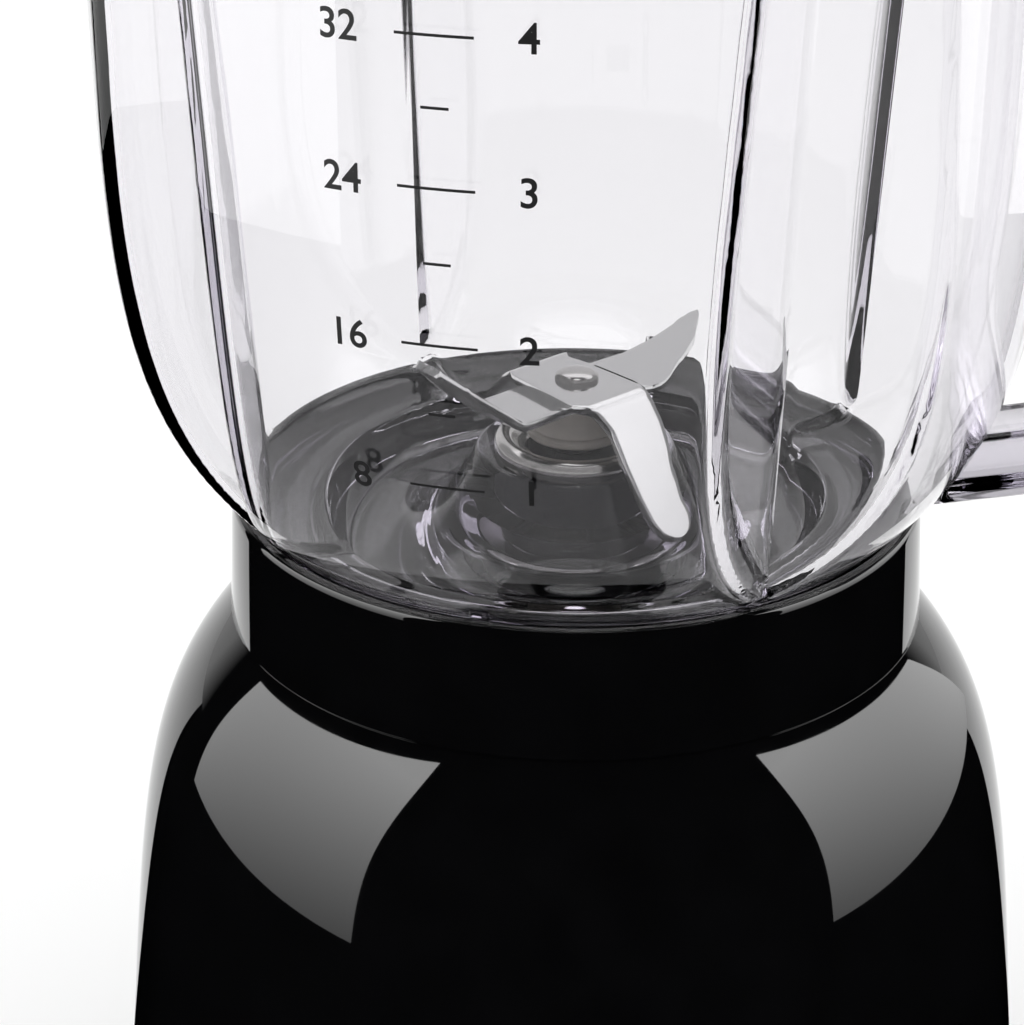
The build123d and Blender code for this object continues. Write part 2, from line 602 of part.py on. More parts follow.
with BuildPart() as drive_coupling:
    with BuildSketch(Plane.XY.offset(DRIVE_DISC)):
        Circle(14.0)
        Circle(SHAFT_RADIUS, mode=Mode.SUBTRACT)
    extrude(amount=DRIVE_DISC_HEIGHT)
    with BuildSketch(Plane.XY.offset(DRIVE_DISC + DRIVE_DISC_HEIGHT)):
        Circle(STAR_ROOT)
        with PolarLocations(STAR_ROOT, STAR_POINTS):
            Rectangle(2 * (STAR_RADIUS - STAR_ROOT), 3.4)
    extrude(amount=DRIVE_TOP - DRIVE_DISC - DRIVE_DISC_HEIGHT)
    with BuildSketch(Plane.XY.offset(DRIVE_DISC)):
        Circle(SHAFT_RADIUS)
    extrude(amount=MOTOR_SHAFT_TOP - DRIVE_DISC, mode=Mode.SUBTRACT)
drive_coupling.part.label = "drive_coupling"
export_step(drive_coupling.part, "parts/drive_coupling.step")

# ---------------------------------------------------------------- jug
# Outer and inner wall: a curve up from the floor, then a slightly flared straight wall.
CURVE_TOP = JUG_START + 64.0
OUTER_CURVE = [
    (JUG_START_RADIUS, JUG_START),
    (JUG_RADIUS - 4.8, JUG_START + 12.5),
    (JUG_RADIUS - 0.5, JUG_START + 26.0),
    (JUG_RADIUS, CURVE_TOP),
]
INNER_CURVE = [
    (JUG_START_RADIUS - 4.4, FLOOR_TOP),
    (JUG_RADIUS - JUG_WALL - 6.0, FLOOR_TOP + 10.0),
    (JUG_RADIUS - JUG_WALL - 0.5, JUG_START + 25.5),
    (JUG_RADIUS - JUG_WALL, CURVE_TOP),
]
FLUTE_TOP = RIM_TOP - RIM_BAND
FLUTE_START = FLOOR_TOP - 8.0
FLUTE_TILT = atan(VALLEY_SLOPE)
APEX_SHIFT = JUG_WALL / sin(radians(FLUTE_HALF_ANGLE))
FLUTE_REACH = 26.0
SPOUT_BOTTOM = RIM_TOP - 22.0
SPOUT_MIDDLE = RIM_RADIUS - 5.0
SPOUT_RADIUS = 14.0
CUP_TUBE_RADIUS = CUP_RADIUS - 3.7
TROUGH_TOP = FLOOR_TOP - TROUGH_DEPTH              # its bottom, on the inside
TROUGH_UNDER = TROUGH_TOP - JUG_FLOOR
TROUGH_INNER = 23.0           # radius at which the underside steps down


def flute_plane(angle):
    """The plane across one valley's line, its x pointing outwards."""
    radius = VALLEY_RADIUS - VALLEY_SLOPE * (FLOOR_TOP + 5.0 - FLUTE_START)
    out_x = cos(radians(angle))
    out_y = sin(radians(angle))
    return Plane(
        origin=(radius * out_x, radius * out_y, FLUTE_START),
        x_dir=(cos(FLUTE_TILT) * out_x, cos(FLUTE_TILT) * out_y, -sin(FLUTE_TILT)),
        z_dir=(sin(FLUTE_TILT) * out_x, sin(FLUTE_TILT) * out_y, cos(FLUTE_TILT)),
    )


flute_planes = [flute_plane(45 + 360 / FLUTE_COUNT * i) for i in range(FLUTE_COUNT)]
FLUTE_LENGTH = (FLUTE_TOP - FLUTE_START) / cos(FLUTE_TILT)


def valley_points(shift):
    """The wedge of one flute, its apex moved inwards by shift."""
    half_width = (FLUTE_REACH + shift) * tan(radians(FLUTE_HALF_ANGLE))
    return [(-shift, 0), (FLUTE_REACH, -half_width), (FLUTE_REACH, half_width)]


with BuildPart() as jug_outside:
    with BuildSketch(Plane.XZ):
        with BuildLine():
            Bezier(*OUTER_CURVE)
            Polyline(
                (JUG_RADIUS, CURVE_TOP),
                (RIM_RADIUS, RIM_TOP),
                (0, RIM_TOP),
                (0, FLOOR_UNDER),
                (TROUGH_INNER - 3.0, FLOOR_UNDER),
                (TROUGH_INNER, TROUGH_UNDER),
                (TROUGH_RADIUS - 0.5, TROUGH_UNDER),
                (TROUGH_RADIUS + 2.5, FLOOR_UNDER),
                (FOOT_RADIUS, FLOOR_UNDER),
                (JUG_START_RADIUS, JUG_START),
            )
        make_face()
    revolve(axis=Axis.Z)
    with BuildSketch(Plane.XY.offset(SPOUT_BOTTOM)):
        with Locations((-SPOUT_MIDDLE, 0)):
            Circle(4.5)
    with BuildSketch(Plane.XY.offset(RIM_TOP)):
        with Locations((-SPOUT_MIDDLE, 0)):
            Circle(SPOUT_RADIUS)
    loft()

with BuildPart() as jug_inside:
    with BuildSketch(Plane.XZ):
        with BuildLine():
            Bezier(*INNER_CURVE)
            Polyline(
                (JUG_RADIUS - JUG_WALL, CURVE_TOP),
                (RIM_RADIUS - JUG_WALL, RIM_TOP + 1),
                (0, RIM_TOP + 1),
                (0, TROUGH_TOP),
                (TROUGH_RADIUS - 3.0, TROUGH_TOP),
                (TROUGH_RADIUS, FLOOR_TOP),
                (JUG_START_RADIUS - 4.4, FLOOR_TOP),
            )
        make_face()
    revolve(axis=Axis.Z)
    for plane in flute_planes:
        with BuildSketch(plane):
            with BuildLine():
                Polyline(*valley_points(APEX_SHIFT), close=True)
            make_face()
            fillet(vertices().sort_by(Axis.X)[0], VALLEY_ROUNDING + JUG_WALL)
        extrude(amount=FLUTE_LENGTH + JUG_WALL, mode=Mode.SUBTRACT)
    with BuildSketch(Plane.XY.offset(SPOUT_BOTTOM + JUG_WALL)):
        with Locations((-SPOUT_MIDDLE, 0)):
            Circle(2.5)
    with BuildSketch(Plane.XY.offset(RIM_TOP + 1)):
        with Locations((-SPOUT_MIDDLE, 0)):
            Circle(SPOUT_RADIUS - JUG_WALL)
    loft()

with BuildPart() as jug_body:
    add(jug_outside.part)
    for plane in flute_planes:
        with BuildSketch(plane):
            with BuildLine():
                Polyline(*valley_points(0), close=True)
            make_face()
            fillet(vertices().sort_by(Axis.X)[0], VALLEY_ROUNDING)
        extrude(amount=FLUTE_LENGTH, mode=Mode.SUBTRACT)
    add(jug_inside.part, mode=Mode.SUBTRACT)
    # central hump that carries the blade unit
    with BuildSketch(Plane.XZ):
        with BuildLine():
            Bezier(
                (HUMP_RADIUS, TROUGH_TOP),
                (HUMP_RADIUS - 7.5, TROUGH_TOP + 0.5),
                (HUMP_TOP_RADIUS + 3.5, FLOOR_TOP + HUMP_HEIGHT - 4.5),
                (HUMP_TOP_RADIUS, FLOOR_TOP + HUMP_HEIGHT),
            )
            Polyline(
                (HUMP_TOP_RADIUS, FLOOR_TOP + HUMP_HEIGHT),
                (0, FLOOR_TOP + HUMP_HEIGHT),
                (0, FLOOR_UNDER),
                (TROUGH_INNER - 3.0, FLOOR_UNDER),
                (TROUGH_INNER - 1.0, TROUGH_TOP - 1),
                (HUMP_RADIUS, TROUGH_TOP - 1),
                (HUMP_RADIUS, TROUGH_TOP),
            )
        make_face()
    revolve(axis=Axis.Z)
    # foot ring inside the collar
    with BuildSketch(Plane.XY.offset(FOOT_BOTTOM)):
        Circle(FOOT_RADIUS - 0.6)
        Circle(FOOT_RADIUS - 0.6 - JUG_WALL, mode=Mode.SUBTRACT)
    extrude(amount=FLOOR_UNDER - FOOT_BOTTOM + 0.5)
    # hole for the bearing cup
    with Locations((0, 0, FLOOR_TOP)):
        Cylinder(CUP_TUBE_RADIUS, 60, mode=Mode.SUBTRACT)
jug_body.part.label = "jug_body"
export_step(jug_body.part, "parts/jug_body.step")

# ---------------------------------------------------------------- handle
LOWER_ROOT = JUG_START + 11.0
UPPER_ROOT = RIM_TOP - 22.0
GRIP_X = JUG_RADIUS + HANDLE_REACH
with BuildPart() as jug_handle:
    with BuildLine(Plane.XZ) as handle_path:
        FilletPolyline(
            (JUG_START_RADIUS + 4, LOWER_ROOT - 1.5),
            (GRIP_X - 4, LOWER_ROOT + 9.5),
            (GRIP_X, UPPER_ROOT + 6),
            (JUG_RADIUS - 6, UPPER_ROOT),
            radius=16.0,
        )
    with BuildSketch(Plane(origin=handle_path.line @ 0, x_dir=(0, 1, 0), z_dir=handle_path.line % 0)):
        RectangleRounded(HANDLE_WIDTH, HANDLE_THICKNESS, 3.6)
    sweep()
    add(jug_outside.part, mode=Mode.SUBTRACT)
jug_handle.part.label = "jug_handle"
export_step(jug_handle.part, "parts/jug_handle.step")

# ---------------------------------------------------------------- blade unit: cup and seals
CUP_BOTTOM = DRIVE_TOP + 3.4
NUT_TOP = FLOOR_UNDER - 0.9
BUSH_RADIUS = CUP_TUBE_RADIUS - 1.3
SEAL_BOTTOM = CUP_TOP - 4.0

with BuildPart() as bearing_cup:
    with BuildSketch(Plane.XZ):
        with BuildLine():
            Polyline(
                (BUSH_RADIUS, CUP_BOTTOM),
                (CUP_TUBE_RADIUS, CUP_BOTTOM),
                (CUP_TUBE_RADIUS, FLOOR_TOP + HUMP_HEIGHT),
                (CUP_RADIUS, FLOOR_TOP + HUMP_HEIGHT),
                (CUP_RADIUS, CUP_TOP - 0.6),
                (CUP_RADIUS - 0.6, CUP_TOP),
                (BUSH_RADIUS, CUP_TOP),
                close=True,
            )
        make_face()
    revolve(axis=Axis.Z)
bearing_cup.part.label = "bearing_cup"
export_step(bearing_cup.part, "parts/bearing_cup.step")

with BuildPart() as shaft_bushing:
    with BuildSketch(Plane.XY.offset(CUP_BOTTOM)):
        Circle(BUSH_RADIUS)
        Circle(SHAFT_RADIUS + RUNNING_FIT, mode=Mode.SUBTRACT)
    extrude(amount=SEAL_BOTTOM - CUP_BOTTOM)
shaft_bushing.part.label = "shaft_bushing"
export_step(shaft_bushing.part, "parts/shaft_bushing.step")

with BuildPart() as shaft_seal:
    with BuildSketch(Plane.XY.offset(SEAL_BOTTOM)):
        Circle(BUSH_RADIUS)
        Circle(SHAFT_RADIUS + PIECE_GAP, mode=Mode.SUBTRACT)
    extrude(amount=2.4)
shaft_seal.part.label = "shaft_seal"
export_step(shaft_seal.part, "parts/shaft_seal.step")

with BuildPart() as cup_gasket:
    with BuildSketch(Plane.XY.offset(NUT_TOP)):
        Circle(12.4)
        Circle(CUP_TUBE_RADIUS, mode=Mode.SUBTRACT)
    extrude(amount=FLOOR_UNDER - NUT_TOP)
cup_gasket.part.label = "cup_gasket"
export_step(cup_gasket.part, "parts/cup_gasket.step")

with BuildPart() as cup_nut:
    with BuildSketch(Plane.XY.offset(CUP_BOTTOM + 0.3)):
        RegularPolygon(13.6, 6)
        Circle(CUP_TUBE_RADIUS, mode=Mode.SUBTRACT)
    extrude(amount=NUT_TOP - CUP_BOTTOM - 0.3)
cup_nut.part.label = "cup_nut"
export_step(cup_nut.part, "parts/cup_nut.step")

# ---------------------------------------------------------------- blade unit: what turns
DRIVEN_TOP = CUP_BOTTOM - PIECE_GAP
STAR_GAP = 0.45
STAR_ROOF = DRIVE_TOP + 0.5
SPACER_BOTTOM = CUP_TOP + PIECE_GAP
BUTTON_RADIUS = 3.2
BUTTON_TOP = HUB_BOTTOM + BLADE_THICKNESS + 1.4

with BuildPart() as blade_shaft:
    with BuildSketch(Plane.XY.offset(STAR_ROOF)):
        Circle(SHAFT_RADIUS)
    extrude(amount=LOWER_BLADE_BOTTOM - STAR_ROOF)
    with BuildSketch(Plane.XY.offset(LOWER_BLADE_BOTTOM)):
        Circle(BUTTON_RADIUS)
        Rectangle(2 * BUTTON_RADIUS, 1.6 * BUTTON_RADIUS, mode=Mode.INTERSECT)
    extrude(amount=BUTTON_TOP - LOWER_BLADE_BOTTOM)
    chamfer(blade_shaft.faces().sort_by(Axis.Z)[-1].edges(), 0.4)
blade_shaft.part.label = "blade_shaft"
export_step(blade_shaft.part, "parts/blade_shaft.step")

with BuildPart() as driven_coupling:
    with BuildSketch(Plane.XY.offset(SOCKET_FLOOR - 0.6)):
        Circle(16.0)
    extrude(amount=DRIVEN_TOP - SOCKET_FLOOR + 0.6)
    with BuildSketch(Plane.XY.offset(SOCKET_FLOOR - 0.6)):
        Circle(STAR_ROOT + STAR_GAP)
        with PolarLocations(STAR_ROOT, STAR_POINTS):
            Rectangle(2 * (STAR_RADIUS - STAR_ROOT + STAR_GAP), 3.4 + 2 * STAR_GAP)
    extrude(amount=STAR_ROOF - SOCKET_FLOOR + 0.6, mode=Mode.SUBTRACT)
    with BuildSketch(Plane.XY.offset(STAR_ROOF)):
        Circle(SHAFT_RADIUS)
    extrude(amount=10, mode=Mode.SUBTRACT)
driven_coupling.part.label = "driven_coupling"
export_step(driven_coupling.part, "parts/driven_coupling.step")

with BuildPart() as blade_spacer:
    with BuildSketch(Plane.XY.offset(SPACER_BOTTOM)):
        Circle(SPACER_RADIUS)
        Circle(SHAFT_RADIUS, mode=Mode.SUBTRACT)
    extrude(amount=LOWER_BLADE_BOTTOM - SPACER_BOTTOM)
blade_spacer.part.label = "blade_spacer"
export_step(blade_spacer.part, "parts/blade_spacer.step")


def arm_plane(angle, reach, level, tilt):
    """A plane along a blade's arm: x runs out along the arm, z is its upper side."""
    out_x = cos(radians(angle))
    out_y = sin(radians(angle))
    return Plane(
        origin=(reach * out_x, reach * out_y, level),
        x_dir=(cos(radians(tilt)) * out_x, cos(radians(tilt)) * out_y, sin(radians(tilt))),
        z_dir=(-sin(radians(tilt)) * out_x, -sin(radians(tilt)) * out_y, cos(radians(tilt))),
    )


def arm_outline(length, root_width, tip_width):
    """An arm that tapers on one side to a narrow tip."""
    return [
        (-0.5, -root_width / 2),
        (length, root_width / 2 - tip_width),
        (length, root_width / 2),
        (-0.5, root_width / 2),
    ]


FLAT_ANGLE = 58.0             # of the flat arm, from +X
DOWN_TILT = -41.5
DOWN_LENGTH = 22.3
UP_TILT = 39.0
UP_FOLD = 15.2
UP_LENGTH = 22.0
SHORT_LENGTH = 8.0            # of the lower blade's level arm, past the up fold's distance
LOWER_ANGLE = FLAT_ANGLE - 180.0

with BuildPart() as upper_blade:
    with BuildSketch(Plane.XY.offset(HUB_BOTTOM)):
        Rectangle(2 * FOLD_REACH, 2 * FOLD_REACH, rotation=FLAT_ANGLE)
    extrude(amount=BLADE_THICKNESS)
    with BuildSketch(arm_plane(FLAT_ANGLE, FOLD_REACH, HUB_BOTTOM, 0)):
        with BuildLine():
            Polyline(*arm_outline(FLAT_ARM - FOLD_REACH, 13.0, 2.5), close=True)
        make_face()
    extrude(amount=BLADE_THICKNESS)
    for angle in (FLAT_ANGLE - 90, FLAT_ANGLE + 90):
        with BuildSketch(arm_plane(angle, FOLD_REACH, HUB_BOTTOM, DOWN_TILT)):
            with BuildLine():
                Polyline(*arm_outline(DOWN_LENGTH, 12.0, 5.0), close=True)
            make_face()
        extrude(amount=BLADE_THICKNESS)
    with BuildSketch(Plane.XY.offset(HUB_BOTTOM)):
        Circle(BUTTON_RADIUS)
        Rectangle(2 * BUTTON_RADIUS, 1.6 * BUTTON_RADIUS, mode=Mode.INTERSECT)
    extrude(amount=BLADE_THICKNESS, mode=Mode.SUBTRACT)
upper_blade.part.label = "upper_blade"
export_step(upper_blade.part, "parts/upper_blade.step")

with BuildPart() as lower_blade:
    with BuildSketch(Plane.XY.offset(LOWER_BLADE_BOTTOM)):
        Rectangle(2 * UP_FOLD, 12.0, rotation=LOWER_ANGLE)
        Circle(BUTTON_RADIUS, mode=Mode.SUBTRACT)
    extrude(amount=BLADE_THICKNESS)
    with BuildSketch(arm_plane(LOWER_ANGLE, UP_FOLD, LOWER_BLADE_BOTTOM, UP_TILT)):
        with BuildLine():
            Polyline(*arm_outline(UP_LENGTH, 12.0, 5.0), close=True)
        make_face()
    extrude(amount=BLADE_THICKNESS)
    with BuildSketch(arm_plane(LOWER_ANGLE + 180, UP_FOLD, LOWER_BLADE_BOTTOM, 0)):
        with BuildLine():
            Polyline(*arm_outline(SHORT_LENGTH, 9.0, 3.5), close=True)
        make_face()
    extrude(amount=BLADE_THICKNESS)
lower_blade.part.label = "lower_blade"
export_step(lower_blade.part, "parts/lower_blade.step")

# ---------------------------------------------------------------- lid and filler cap
LID_BOTTOM = RIM_TOP + PIECE_GAP
LID_TOP = LID_BOTTOM + LID_THICKNESS
PLUG_RADIUS = RIM_RADIUS - JUG_WALL - 1.6
TUBE_INNER = CAP_RADIUS + PIECE_GAP
TUBE_OUTER = TUBE_INNER + 2.4
GASKET_BOTTOM = LID_BOTTOM - 9.0
GASKET_HEIGHT = 4.0

with BuildPart() as lid:
    with BuildSketch(Plane.XY.offset(LID_BOTTOM)):
        Circle(RIM_RADIUS + 1.6)
    extrude(amount=LID_THICKNESS)
    fillet(lid.edges().sort_by(Axis.Z)[-1], 1.4)
    with BuildSketch(Plane.XY.offset(LID_BOTTOM - LID_DEPTH)):
        Circle(PLUG_RADIUS)
        Circle(PLUG_RADIUS - 2.6, mode=Mode.SUBTRACT)
        Circle(TUBE_OUTER)
    extrude(amount=LID_DEPTH)
    with BuildSketch(Plane.XY.offset(GASKET_BOTTOM)):
        Circle(PLUG_RADIUS)
        Circle(PLUG_RADIUS - 1.0, mode=Mode.SUBTRACT)
    extrude(amount=GASKET_HEIGHT, mode=Mode.SUBTRACT)
    with Locations((0, 0, LID_BOTTOM)):
        Cylinder(TUBE_INNER, 60, mode=Mode.SUBTRACT)
lid.part.label = "lid"
export_step(lid.part, "parts/lid.step")

with BuildPart() as lid_gasket:
    with BuildSketch(Plane.XY.offset(GASKET_BOTTOM)):
        Circle(PLUG_RADIUS + 1.0)
        Circle(PLUG_RADIUS - 1.0, mode=Mode.SUBTRACT)
    extrude(amount=GASKET_HEIGHT)
    fillet(lid_gasket.edges().filter_by(GeomType.CIRCLE).group_by(SortBy.RADIUS)[-1], 0.8)
lid_gasket.part.label = "lid_gasket"
export_step(lid_gasket.part, "parts/lid_gasket.step")

CAP_BOTTOM = LID_TOP + PIECE_GAP
CAP_FLANGE = TUBE_OUTER + 2.4
CAP_THICKNESS = 2.4
with BuildPart() as filler_cap:
    with BuildSketch(Plane.XY.offset(CAP_BOTTOM)):
        Circle(CAP_FLANGE)
    extrude(amount=CAP_THICKNESS)
    with BuildSketch(Plane.XY.offset(CAP_BOTTOM + CAP_THICKNESS)):
        Rectangle(2 * CAP_RADIUS - 6, 7.0)
    extrude(amount=7.0)
    fillet(filler_cap.faces().sort_by(Axis.Z)[-1].edges(), 2.0)
    with BuildSketch(Plane.XY.offset(LID_BOTTOM - LID_DEPTH + 1.0)):
        Circle(CAP_RADIUS)
        Circle(CAP_RADIUS - 2.2, mode=Mode.SUBTRACT)
    extrude(amount=CAP_BOTTOM - LID_BOTTOM + LID_DEPTH - 1.0)
filler_cap.part.label = "filler_cap"
export_step(filler_cap.part, "parts/filler_cap.step")
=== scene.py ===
# %% [markdown]
# # A countertop blender in glossy black and clear plastic
#
# The motor base, the jug, the blades and the lid come from a CAD model. This notebook gives every
# part its finish, makes the parts that need a finer surface, and lights the whole as a
# studio would: a pale floor, two big soft lights and black cards that keep the base black.

# %% Load the model
import json
from math import cos, degrees, hypot, pi, radians, sin, tan

import bpy
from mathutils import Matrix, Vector


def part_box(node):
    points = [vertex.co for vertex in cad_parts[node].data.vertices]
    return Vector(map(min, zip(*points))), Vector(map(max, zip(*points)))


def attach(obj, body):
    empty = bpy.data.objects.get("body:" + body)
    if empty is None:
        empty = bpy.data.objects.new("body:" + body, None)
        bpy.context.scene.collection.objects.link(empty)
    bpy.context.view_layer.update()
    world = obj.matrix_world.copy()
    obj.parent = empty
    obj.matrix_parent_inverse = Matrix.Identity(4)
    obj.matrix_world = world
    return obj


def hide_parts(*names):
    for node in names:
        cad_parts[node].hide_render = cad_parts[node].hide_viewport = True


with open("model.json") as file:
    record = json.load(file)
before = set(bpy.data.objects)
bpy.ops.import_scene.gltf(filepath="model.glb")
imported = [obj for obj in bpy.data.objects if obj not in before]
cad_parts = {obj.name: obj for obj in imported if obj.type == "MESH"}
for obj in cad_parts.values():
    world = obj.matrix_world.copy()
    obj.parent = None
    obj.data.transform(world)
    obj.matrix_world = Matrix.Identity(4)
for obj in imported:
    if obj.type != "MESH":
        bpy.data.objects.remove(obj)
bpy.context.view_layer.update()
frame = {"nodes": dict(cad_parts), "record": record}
MM = 0.001

# %% [markdown]
# ## Where things are
#
# The heights and radii that the new pieces share with the CAD parts are read from the boxes of
# those parts. The spin axis is the Z axis. The seam is where the collar stands on the housing.

# %% Main heights and radii
BLADE_SHEET = 1.2 * MM        # thickness of both blades
housing_low, housing_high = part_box("base_housing")
cup_low, cup_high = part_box("bearing_cup")
SEAM = housing_high.z
COLLAR_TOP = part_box("collar")[1].z
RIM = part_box("jug_body")[1].z
UNDER_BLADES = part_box("blade_spacer")[1].z
HUB_TOP = UNDER_BLADES + 2 * BLADE_SHEET
CUP_TOP = cup_high.z
FRONT_TURN = radians(57)      # the button panel's side, from -Y towards +X
print("seam", round(SEAM, 4), "collar top", round(COLLAR_TOP, 4), "rim", round(RIM, 4))

# %% [markdown]
# ## Camera
#
# A long lens from a little above, slightly to the right of the jug's scale, close enough that the
# lid and the feet are out of view.

# %% Camera
LOOK_HEIGHT = 0.1414
CAMERA_DISTANCE = 0.447
CAMERA_TURN = radians(16)     # from -Y towards +X
CAMERA_PITCH = radians(24.75)
CAMERA_SIDE = -9.45 * MM      # the camera stands this far to the left of the axis
LENS = 105.4

to_right = Vector((cos(CAMERA_TURN), sin(CAMERA_TURN), 0))
to_back = Vector((sin(CAMERA_TURN), -cos(CAMERA_TURN), 0))
look_at = Vector((0, 0, LOOK_HEIGHT)) + to_right * CAMERA_SIDE
camera_place = look_at + CAMERA_DISTANCE * (
    cos(CAMERA_PITCH) * to_back + sin(CAMERA_PITCH) * Vector((0, 0, 1))
)
bpy.ops.object.camera_add(location=camera_place)
camera = bpy.context.object
camera.name = "camera"
camera.rotation_euler = (look_at - camera_place).to_track_quat("-Z", "Y").to_euler()
camera.data.lens = LENS
camera.data.sensor_width = 36
camera.data.clip_start = 0.01
bpy.context.scene.camera = camera
print("camera at", [round(v, 4) for v in camera_place])

# %% [markdown]
# ## Floor and world
#
# The floor is plain and pale. The world lights everything in plain white, but mirror-like
# reflections see a studio in it: a white backdrop behind, a soft light high above the back, and
# black in front. A glossy black housing only looks black when it has something black to reflect,
# which is why black cards stand round it. Light bent by the clear plastic sees a
# grey room instead of the black.

# %% Helpers for nodes
def new_material(name):
    """A material with its shader, and the functions to add to it."""
    material = bpy.data.materials.new(name)
    material.use_nodes = True
    shader = material.node_tree.nodes["Principled BSDF"]
    return material, material.node_tree, shader


def noise(tree, size, detail=3.0, stretch=(1, 1, 1)):
    """Noise on the piece's own coordinates, with its pattern's size in metres."""
    place = tree.nodes.new("ShaderNodeTexCoord")
    turn = tree.nodes.new("ShaderNodeMapping")
    turn.inputs["Scale"].default_value = stretch
    texture = tree.nodes.new("ShaderNodeTexNoise")
    texture.inputs["Scale"].default_value = 1 / size
    texture.inputs["Detail"].default_value = detail
    tree.links.new(place.outputs["Object"], turn.inputs["Vector"])
    tree.links.new(turn.outputs["Vector"], texture.inputs["Vector"])
    return texture


def between(tree, value, low, high):
    """The value, from 0 to 1, spread between low and high."""
    spread = tree.nodes.new("ShaderNodeMapRange")
    spread.inputs["From Min"].default_value = 0.3
    spread.inputs["From Max"].default_value = 0.7
    spread.inputs["To Min"].default_value = low
    spread.inputs["To Max"].default_value = high
    tree.links.new(value, spread.inputs["Value"])
    return spread.outputs["Result"]


def bumps(tree, shader, height, depth):
    """Small bumps, depth in metres."""
    bump = tree.nodes.new("ShaderNodeBump")
    bump.inputs["Distance"].default_value = depth
    tree.links.new(height, bump.inputs["Height"])
    tree.links.new(bump.outputs["Normal"], shader.inputs["Normal"])


def two_tones(tree, shader, value, dark, light):
    """The base colour runs from dark to light with the value."""
    ramp = tree.nodes.new("ShaderNodeValToRGB")
    ramp.color_ramp.elements[0].position = 0.3
    ramp.color_ramp.elements[0].color = (*dark, 1)
    ramp.color_ramp.elements[1].position = 0.7
    ramp.color_ramp.elements[1].color = (*light, 1)
    tree.links.new(value, ramp.inputs["Fac"])
    tree.links.new(ramp.outputs["Color"], shader.inputs["Base Color"])


# %% Floor
bpy.ops.object.select_all(action="DESELECT")
bpy.ops.mesh.primitive_circle_add(vertices=96, radius=3.0, fill_type="NGON", location=(0, 0, 0))
floor = bpy.context.object
floor.name = "floor"
floor_finish, _, floor_shader = new_material("pale floor")
floor_shader.inputs["Base Color"].default_value = (0.9, 0.9, 0.9, 1)
floor_shader.inputs["Roughness"].default_value = 0.9
floor_shader.inputs["Specular IOR Level"].default_value = 0.0
floor.data.materials.append(floor_finish)

# %% World
world = bpy.data.worlds.new("studio")
bpy.context.scene.world = world
world.use_nodes = True
sky = world.node_tree
sky.nodes.clear()
sky_out = sky.nodes.new("ShaderNodeOutputWorld")
white = sky.nodes.new("ShaderNodeBackground")
white.inputs["Color"].default_value = (1, 1, 1, 1)
white.inputs["Strength"].default_value = 1.0
seen = sky.nodes.new("ShaderNodeBackground")
ROOM_GREY = 0.42
LIGHT_ABOVE = 2.2
sky_mix = sky.nodes.new("ShaderNodeMixShader")
ray = sky.nodes.new("ShaderNodeLightPath")
direction = sky.nodes.new("ShaderNodeTexCoord")


def sky_part(axis, dark_at, bright_at):
    """0 to 1 as the direction turns towards an axis."""
    toward = sky.nodes.new("ShaderNodeVectorMath")
    toward.operation = "DOT_PRODUCT"
    toward.inputs[1].default_value = axis
    step = sky.nodes.new("ShaderNodeMapRange")
    step.inputs["From Min"].default_value = dark_at
    step.inputs["From Max"].default_value = bright_at
    sky.links.new(direction.outputs["Generated"], toward.inputs[0])
    sky.links.new(toward.outputs["Value"], step.inputs["Value"])
    return step.outputs["Result"]


def joined(tree, way, first, second):
    """A number made of two others."""
    maths = tree.nodes.new("ShaderNodeMath")
    maths.operation = way
    for socket, value in zip(maths.inputs, (first, second)):
        if isinstance(value, (int, float)):
            socket.default_value = value
        else:
            tree.links.new(value, socket)
    return maths.outputs["Value"]


backdrop = sky_part(-to_back, 0.62, 0.74)
high_up = sky_part((0, 0, 1), 0.6, 0.68)
above = joined(sky, "MULTIPLY", high_up, sky_part(-to_back, 0.05, 0.13))
room = joined(sky, "MULTIPLY", ray.outputs["Is Transmission Ray"], ROOM_GREY)
bright = joined(sky, "MAXIMUM", backdrop, joined(sky, "MULTIPLY", above, LIGHT_ABOVE))
sky.links.new(joined(sky, "MAXIMUM", bright, room), seen.inputs["Strength"])
sky.links.new(ray.outputs["Is Glossy Ray"], sky_mix.inputs["Fac"])
sky.links.new(white.outputs["Background"], sky_mix.inputs[1])
sky.links.new(seen.outputs["Background"], sky_mix.inputs[2])
sky.links.new(sky_mix.outputs["Shader"], sky_out.inputs["Surface"])
bpy.context.scene.view_settings.view_transform = "Standard"


# %% Helper: a curved card round the object
def curved_card(name, corners, radius, steps=24):
    """A card that bends round the axis. Each corner is (turn from the camera's side, height)."""
    bpy.ops.object.select_all(action="DESELECT")
    bpy.ops.mesh.primitive_grid_add(x_subdivisions=steps, y_subdivisions=8, size=1)
    card = bpy.context.object
    card.name = name
    top_left, top_right, low_right, low_left = corners
    for vertex in card.data.vertices:
        across = vertex.co.x + 0.5
        upward = vertex.co.y + 0.5
        top = [a + (b - a) * across for a, b in zip(top_left, top_right)]
        low = [a + (b - a) * across for a, b in zip(low_left, low_right)]
        turn, height = [a + (b - a) * upward for a, b in zip(low, top)]
        turn = radians(turn)
        vertex.co = radius * (sin(turn) * to_right + cos(turn) * to_back) + Vector((0, 0, height))
    return card


def only_reflected(thing):
    """The thing is seen in reflections and lights nothing else."""
    thing.visible_camera = False
    thing.visible_diffuse = False
    thing.visible_transmission = False
    thing.visible_volume_scatter = False
    thing.visible_shadow = False


